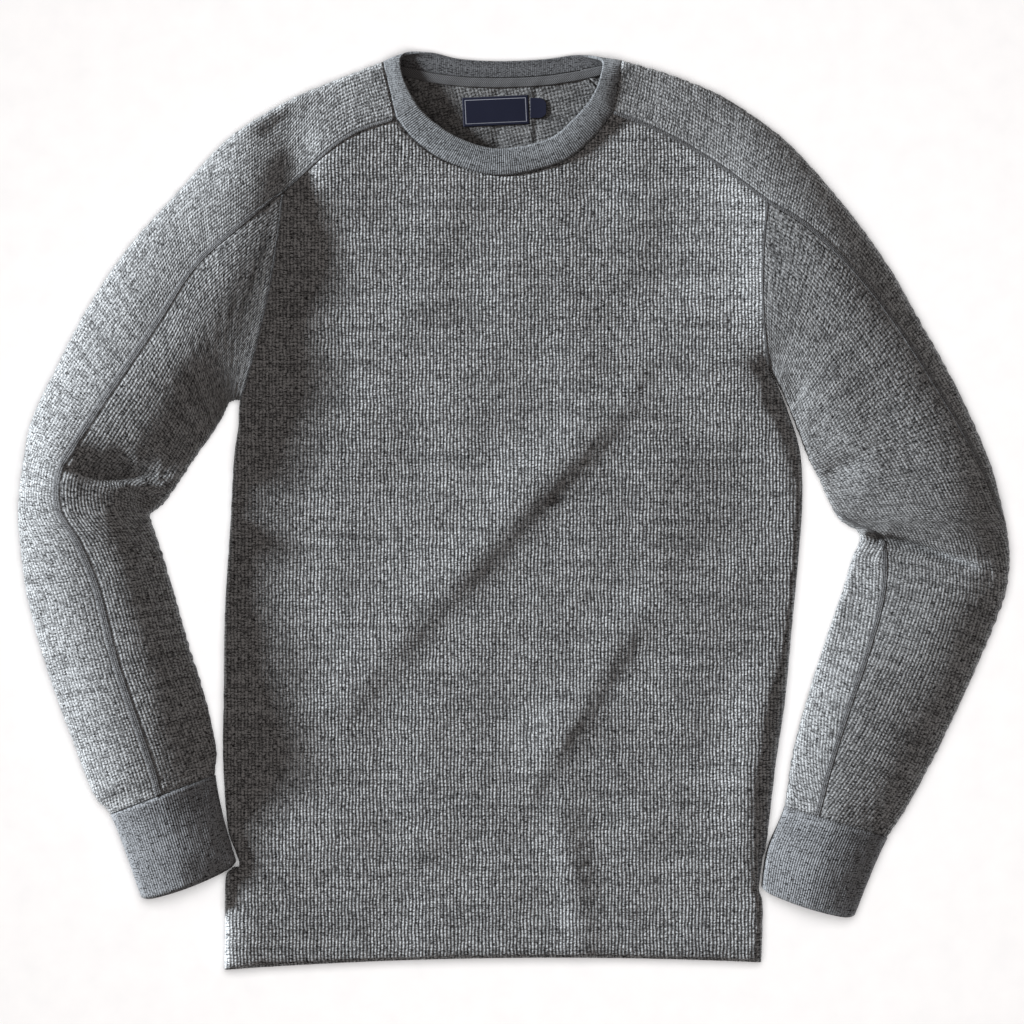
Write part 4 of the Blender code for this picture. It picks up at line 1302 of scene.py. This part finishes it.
    def seams(self) -> list[bpy.types.Object]:
        """Build the strips of the front, back, armhole and inner saddle seams."""
        shoulder, stop, thread = self.plan.shoulder, self.seam_stop, SEAM_THREAD.material()
        u = self.stations(stop, self.plan.cuff - stop)
        front, back = self.plan.seams(u)
        widths = np.interp(u, [shoulder, shoulder + self.seam_growth],
                           [self.shoulder_seam, self.sleeve_seam[self.plan.side]])
        start, end = (ends[0] for ends in self.plan.seams(np.array([float(shoulder)])))
        angles = np.linspace(start + stop, end - stop, self.armhole_points)
        around = np.full_like(angles, float(shoulder))
        narrow = np.full_like(angles, self.shoulder_seam)
        strips = {
            "front_seam": (self.seam_strip(u, front, widths, True), thread),
            "back_seam": (self.seam_strip(u, back, widths, True), thread),
            "armhole_seam": (self.seam_strip(around, angles, narrow, False), thread),
            "inner_saddle_seam": (self.inner_seam(), REVERSE.material()),
        }
        return [strip.build(f"{self.prefix}_{name}", material)
                for name, (strip, material) in strips.items()]

    def build(self) -> dict[str, bpy.types.Object]:
        """Build the panels, the cuff and the seams, and give the panels and cuff by node."""
        faces = (WAFFLE.material(), REVERSE.material())
        sewn = {"first_column": 0.45, "last_column": 0.45, "last_row": 0.5}
        shoulder, cuff = self.plan.shoulder, self.plan.cuff
        outer = self.sheet_of(0, cuff, self.outer_columns, False).groove(sewn)
        under = self.sheet_of(shoulder, cuff, self.under_columns, True).groove(sewn)
        made = {
            "outer_sleeve": outer.build(self.prefix + "_waffle_outer_sleeve", *faces),
            "under_sleeve": under.build(self.prefix + "_waffle_under_sleeve", *faces),
            "cuff": self.cuff().build(self.prefix + "_rib_cuff", RIB.material()),
        }
        for strip in self.seams():
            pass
        for kind, piece in made.items():
            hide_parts(f"{self.prefix}_{kind}")
        return made


@dataclass
class Neck:
    """The collar band, and the tape, label and size tab inside the back neck."""

    plan: GarmentPlan
    drape: Drape
    rib: float = 1.7
    rib_height: float = 0.12
    rib_fade: float = 12.0          # ribs rise over one part in this many of the band
    band_fuzz: Ripples = Ripples(0.04, 5.0, 16.0, 13)
    band_rows: int = 11
    front_columns: int = 640
    back_columns: int = 470
    saddle_columns: int = 110       # in each of the two parts of a saddle's end
    tape_width: float = 8.0
    tape_thickness: float = 0.6
    tape_ends: tuple[float, float] = (8.35, 13.7)   # rows of COLLAR_EDGE
    tape_fuzz: Ripples = Ripples(0.12, 9.0, 30.0, 17)
    tape_dome: float = 0.25         # how far the tape's middle stands above its sides
    tape_edge: tuple[float, float] = (0.3, 0.45)    # extra height of its first two rows
    swell: float = 0.5              # how far the label's middle and the tab's end stand up
    label_size: tuple[float, float, float] = (53.0, 23.5, 0.7)
    label_centre: tuple[float, float] = (-13.4, 320.2)
    label_tilt: float = math.radians(2.6)
    tab_size: tuple[float, float, float] = (13.0, 16.4, 0.7)
    tab_left: tuple[float, float] = (14.2, 322.4)
    tab_round: float = 6.0

    def saddle_end(self, side: Side) -> Grid:
        """Read the saddle panel's end at the collar, from its front seam to its back seam."""
        sleeve = self.plan.sleeves[side]
        count = 2 * self.saddle_columns
        station = np.zeros(count + 1)
        front, back = sleeve.seams(station)
        angles = front + (back - 2 * math.pi - front) * np.linspace(0, 1, count + 1)
        return self.drape.sleeve_point(sleeve, station, angles)

    def seam_line(self) -> tuple[Grid, Grid]:
        """Read the neck seam once round, from the left saddle seam over the front.

        Returns:
            The seam's points, and where each is along COLLAR_EDGE, counted in rows.
        """
        front = self.plan.neckline(Layer.TOP, np.linspace(0, 1, self.front_columns + 1))
        front = np.concatenate([front, self.drape.top(front)[:, None]], axis=-1)
        back = self.plan.neckline(Layer.BOTTOM, np.linspace(1, 0, self.back_columns + 1))
        back = np.concatenate([back, self.drape.bottom(back)[:, None]], axis=-1)
        right = self.saddle_end(Side.RIGHT)
        left = self.saddle_end(Side.LEFT)[::-1]
        seam = np.vstack([part[:-1] for part in (front, right, back, left)])
        names = list(COLLAR_EDGE["place"])
        rows = [names.index(name) for name in (
            "left_saddle", "right_saddle", "right_crease", "right_back", "left_back",
            "left_crease")] + [len(names)]
        n = self.saddle_columns
        counts = (self.front_columns, n, n, self.back_columns, n, n)
        places = [np.linspace(first, last, count, endpoint=False)
                  for first, last, count in zip(rows, rows[1:], counts)]
        return seam, np.concatenate(places)

    def collar(self) -> Cloth:
        """Lay out the collar band, from the neck seam up to its free edge."""
        seam, places = self.seam_line()
        edge = closed_curve(points_of(COLLAR_EDGE, "x y z"), places)
        edge[:, 2] = np.maximum(edge[:, 2], FLOOR_LIFT)
        share = np.linspace(0, 1, self.band_rows + 1)[:, None, None]
        outer = seam + (edge - seam) * share
        band = Cloth(outer, np.zeros((*outer.shape[:2], 2)), flip=True, ring=True)
        arch = closed_curve(points_of(COLLAR_EDGE, "arch"), places)
        band.outer = band.outer + arch * 4 * share * (1 - share) * band.normals()
        middle = band.outer[self.band_rows // 2]
        run = run_along(np.vstack([middle, middle[:1]]))
        across = run[:-1] / run[-1] * round(run[-1] / self.rib) * self.rib
        band.knit = knit_spots(across, outer)
        band.fuzz = self.band_fuzz
        wave = self.rib_height * np.cos(2 * math.pi * across / self.rib)
        band.rise = np.clip(self.rib_fade * np.minimum(share, 1 - share)[..., 0], 0, 1) * wave
        return band

    def tape(self) -> Cloth:
        """Lay out the tape over the back neck seam, from one side of the collar to the other."""
        seam, places = self.seam_line()
        line = seam[(places > self.tape_ends[0]) & (places < self.tape_ends[1]), :2][::-1]
        run = run_along(line)
        spots = np.linspace(0, run[-1], 161)
        x, y = (np.interp(spots, run, line[:, axis]) for axis in (0, 1))
        drops = np.linspace(SEAM_GAP, self.tape_width, 9)
        level = FLOOR_LIFT + WALL + self.tape_thickness
        dome = self.tape_dome * np.sin(math.pi * np.linspace(0, 1, len(drops)))
        dome[:2] += self.tape_edge
        outer = np.array([np.column_stack([x, y - drop, np.full(len(x), level + rise)])
                          for drop, rise in zip(drops, dome)])
        knit = np.stack([np.broadcast_to(drops[:, None], outer.shape[:2]),
                         lengths(outer, 1)], axis=-1)
        return Cloth(outer, knit, wall=self.tape_thickness, fuzz=self.tape_fuzz)

    def plate(self, x: Grid, y: Grid, centre: tuple[float, float], tilt: float,
              thickness: float, swell: Grid) -> Cloth:
        """Lay a woven plate flat on the inside of the back panel.

        Args:
            x: Its points' places across, from its own centre.
            y: Its points' places up, from its own centre.
            centre: Where that centre goes.
            tilt: How far the plate is turned.
            thickness: Its thickness.
            swell: How far each point stands up from flat.

        Returns:
            The plate's cloth.
        """
        turned_x = x * math.cos(tilt) - y * math.sin(tilt)
        turned_y = x * math.sin(tilt) + y * math.cos(tilt)
        level = np.full_like(x, WALL + SEAM_GAP + thickness) + swell
        outer = np.stack([turned_x + centre[0], turned_y + centre[1], level], axis=-1)
        return Cloth(outer, np.stack([x, y], axis=-1), flip=True, wall=thickness, fuzz=None)

    def label(self) -> Cloth:
        """Lay out the label, which swells a little, unevenly, between its sewn ends."""
        width, height, thickness = self.label_size
        x, y = np.meshgrid(np.linspace(-0.5, 0.5, 61) * width, np.linspace(-0.5, 0.5, 29) * height)
        uneven = 0.6 + 0.4 * np.sin(2.4 * x / width + y / 9)
        swell = self.swell * np.cos(math.pi * x / width) * uneven
        return self.plate(x, y, self.label_centre, self.label_tilt, thickness, swell)

    def tab(self) -> Cloth:
        """Lay out the size tab, square at the label and rounded at its free end."""
        width, height, thickness = self.tab_size
        across, up = np.meshgrid(np.linspace(0, 1, 25), np.linspace(-1, 1, 21))
        x = across * width
        past = np.clip(x - (width - self.tab_round), 0, self.tab_round)
        cut = self.tab_round - np.sqrt(self.tab_round ** 2 - past ** 2)
        y = up * (height / 2 - cut)
        return self.plate(x - width / 2, y, (self.tab_left[0] + width / 2, self.tab_left[1]),
                          0.0, thickness, self.swell * across ** 2)

    def build(self) -> dict[str, bpy.types.Object]:
        """Build the collar and the trim, and give them by node."""
        width, height, _ = self.label_size
        label_finish = SatinLabelFinish("navy_woven_label", width / 2, height / 2)
        tab_finish = SatinLabelFinish("navy_woven_tab", *self.tab_size[:2], line=0.0)
        made = {
            # the band's inner face takes the darker copy of the rib, as painted shade
            "collar": self.collar().build("rib_collar", COLLAR_RIB.material(),
                                          COLLAR_REVERSE_SHADED.material(), slant=0.0),
            "neck_tape": self.tape().build("twill_neck_tape", TwillTapeFinish().material()),
            "neck_label": self.label().build("woven_neck_label", label_finish.material()),
            "size_tab": self.tab().build("woven_size_tab", tab_finish.material()),
        }
        for node, piece in made.items():
            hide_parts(node)
        return made


# --------------------------------------------------------------------------------- studio

def add_lamp(name: str, kind: str, strength: float, colour: str, direction: Vector,
             receivers: list[bpy.types.Object]) -> bpy.types.Object:
    """Add a lamp that lights only some of the objects.

    Args:
        name: The lamp's name.
        kind: SUN or AREA.
        strength: Its strength.
        colour: Its colour, as hex.
        direction: The way its light travels.
        receivers: The objects that it lights; all others only throw shadows on them.

    Returns:
        The lamp.
    """
    data = bpy.data.lights.new(name, kind)
    data.energy = strength
    data.color = linear(colour)[:3]
    made = bpy.data.objects.new(name, data)
    bpy.context.scene.collection.objects.link(made)
    made.rotation_euler = direction.to_track_quat("-Z", "Y").to_euler()
    group = bpy.data.collections.new("lit_by_" + name)
    for piece in receivers:
        group.objects.link(piece)
    made.light_linking.receiver_collection = group
    return made


@dataclass(frozen=True)
class Key:
    """A key light from the left, for some of the pieces alone."""

    name: str
    lights: tuple[str, ...]         # what is in the names of the pieces that it lights
    strength: float
    elevation: float                # in degrees
    spread: float                   # its size in the sky, in degrees
    colour: str = "#fbfcff"

    def build(self, heading: float, receivers: list[bpy.types.Object]) -> None:
        """Add the light, travelling along this heading as seen from above."""
        elevation = math.radians(self.elevation)
        flat = math.cos(elevation)
        direction = Vector((math.cos(heading) * flat, math.sin(heading) * flat,
                            -math.sin(elevation)))
        made = add_lamp(self.name, "SUN", self.strength, self.colour, direction, receivers)
        made.data.angle = math.radians(self.spread)


@dataclass
class Studio:
    """The floor, the lights and the camera straight above.

    A piece is lit by the last of the keys that names it, and the first names every piece.
    """

    view_width: float = 0.8192      # metres of floor across the picture
    aim: tuple[float, float] = (-0.001335, -0.001135)
    lens: float = 500.0             # a long lens far away, so that nothing is foreshortened
    sensor: float = 36.0
    sharp_level: float = 0.006      # the height at which the picture is view_width wide
    key_heading: float = math.radians(-17)      # the way the light travels, seen from above
    keys: tuple[Key, ...] = (
        Key("middle_key", ("",), 6.4, 15.0, 9.0),
        Key("left_key", ("left_waffle", "left_front", "left_back", "left_armhole"),
            6.8, 16.5, 9.0),
        Key("neck_key", ("rib_collar", "woven", "twill"), 5.2, 22.0, 9.0),
        Key("yoke_key", ("right_waffle_outer",), 6.2, 15.0, 9.0),
        Key("right_key", ("right_waffle_under", "right_front", "right_back", "right_armhole"),
            4.6, 15.0, 9.0),
        Key("low_key", ("front_panel",), 10.8, 7.5, 3.0),
    )
    fill_colour: str = "#ffefe8"
    fill_strength: float = 0.19
    wash_strength: float = 40.0     # the floor's own lamp
    wash_height: float = 1.6
    wash_size: float = 2.4
    floor_size: float = 6.0
    floor_level: float = -0.0002

    def floor(self) -> bpy.types.Object:
        """Build the floor."""
        bpy.ops.mesh.primitive_plane_add(size=self.floor_size, location=(0, 0, self.floor_level))
        made = bpy.context.object
        made.name = "floor"
        made.data.materials.append(PaperFinish().material())
        return made

    def light(self, pieces: list[bpy.types.Object], floor: bpy.types.Object) -> None:
        """Add the keys for the garment's pieces, the floor's wash and the even fill."""
        waiting = list(pieces)
        for key in reversed(self.keys):
            lit = [piece for piece in waiting if any(name in piece.name for name in key.lights)]
            waiting = [piece for piece in waiting if piece not in lit]
            key.build(self.key_heading, lit)
        wash = add_lamp("floor_wash", "AREA", self.wash_strength, "#ffffff",
                        Vector((0, 0, -1)), [floor])
        wash.location = (0, 0, self.wash_height)
        wash.data.size = self.wash_size
        world = bpy.data.worlds.new("studio")
        world.use_nodes = True
        world.node_tree.nodes.clear()
        sky = add_node(world.node_tree, "ShaderNodeBackground", None,
                       {"Color": linear(self.fill_colour), "Strength": self.fill_strength})
        add_node(world.node_tree, "ShaderNodeOutputWorld", None, {"Surface": sky})
        bpy.context.scene.world = world

    def camera(self) -> None:
        """Add the camera."""
        data = bpy.data.cameras.new("camera")
        data.lens = self.lens
        data.sensor_width = self.sensor
        distance = self.view_width * self.lens / self.sensor
        data.clip_end = 2 * distance
        made = bpy.data.objects.new("camera", data)
        bpy.context.scene.collection.objects.link(made)
        made.location = (*self.aim, self.sharp_level + distance)
        bpy.context.scene.camera = made

    def build(self, pieces: list[bpy.types.Object]) -> None:
        """Set up the floor, the lights on it and on the garment's pieces, and the camera."""
        self.light(pieces, self.floor())
        self.camera()
        bpy.context.scene.view_settings.view_transform = "Standard"


def main() -> None:
    """Build the garment and the studio."""
    logging.basicConfig(level=logging.INFO, format="%(name)s: %(message)s")
    plan = GarmentPlan()
    drape = Drape(plan)
    made = list(Body(plan, drape).build().values())
    for sleeve in plan.sleeves.values():
        made += SleeveSet(sleeve, drape).build().values()
    made += Neck(plan, drape).build().values()
    Studio().build(list(garment_collection().objects))
    log.info("%d pieces", len(made))


if __name__ == "__main__":
    main()
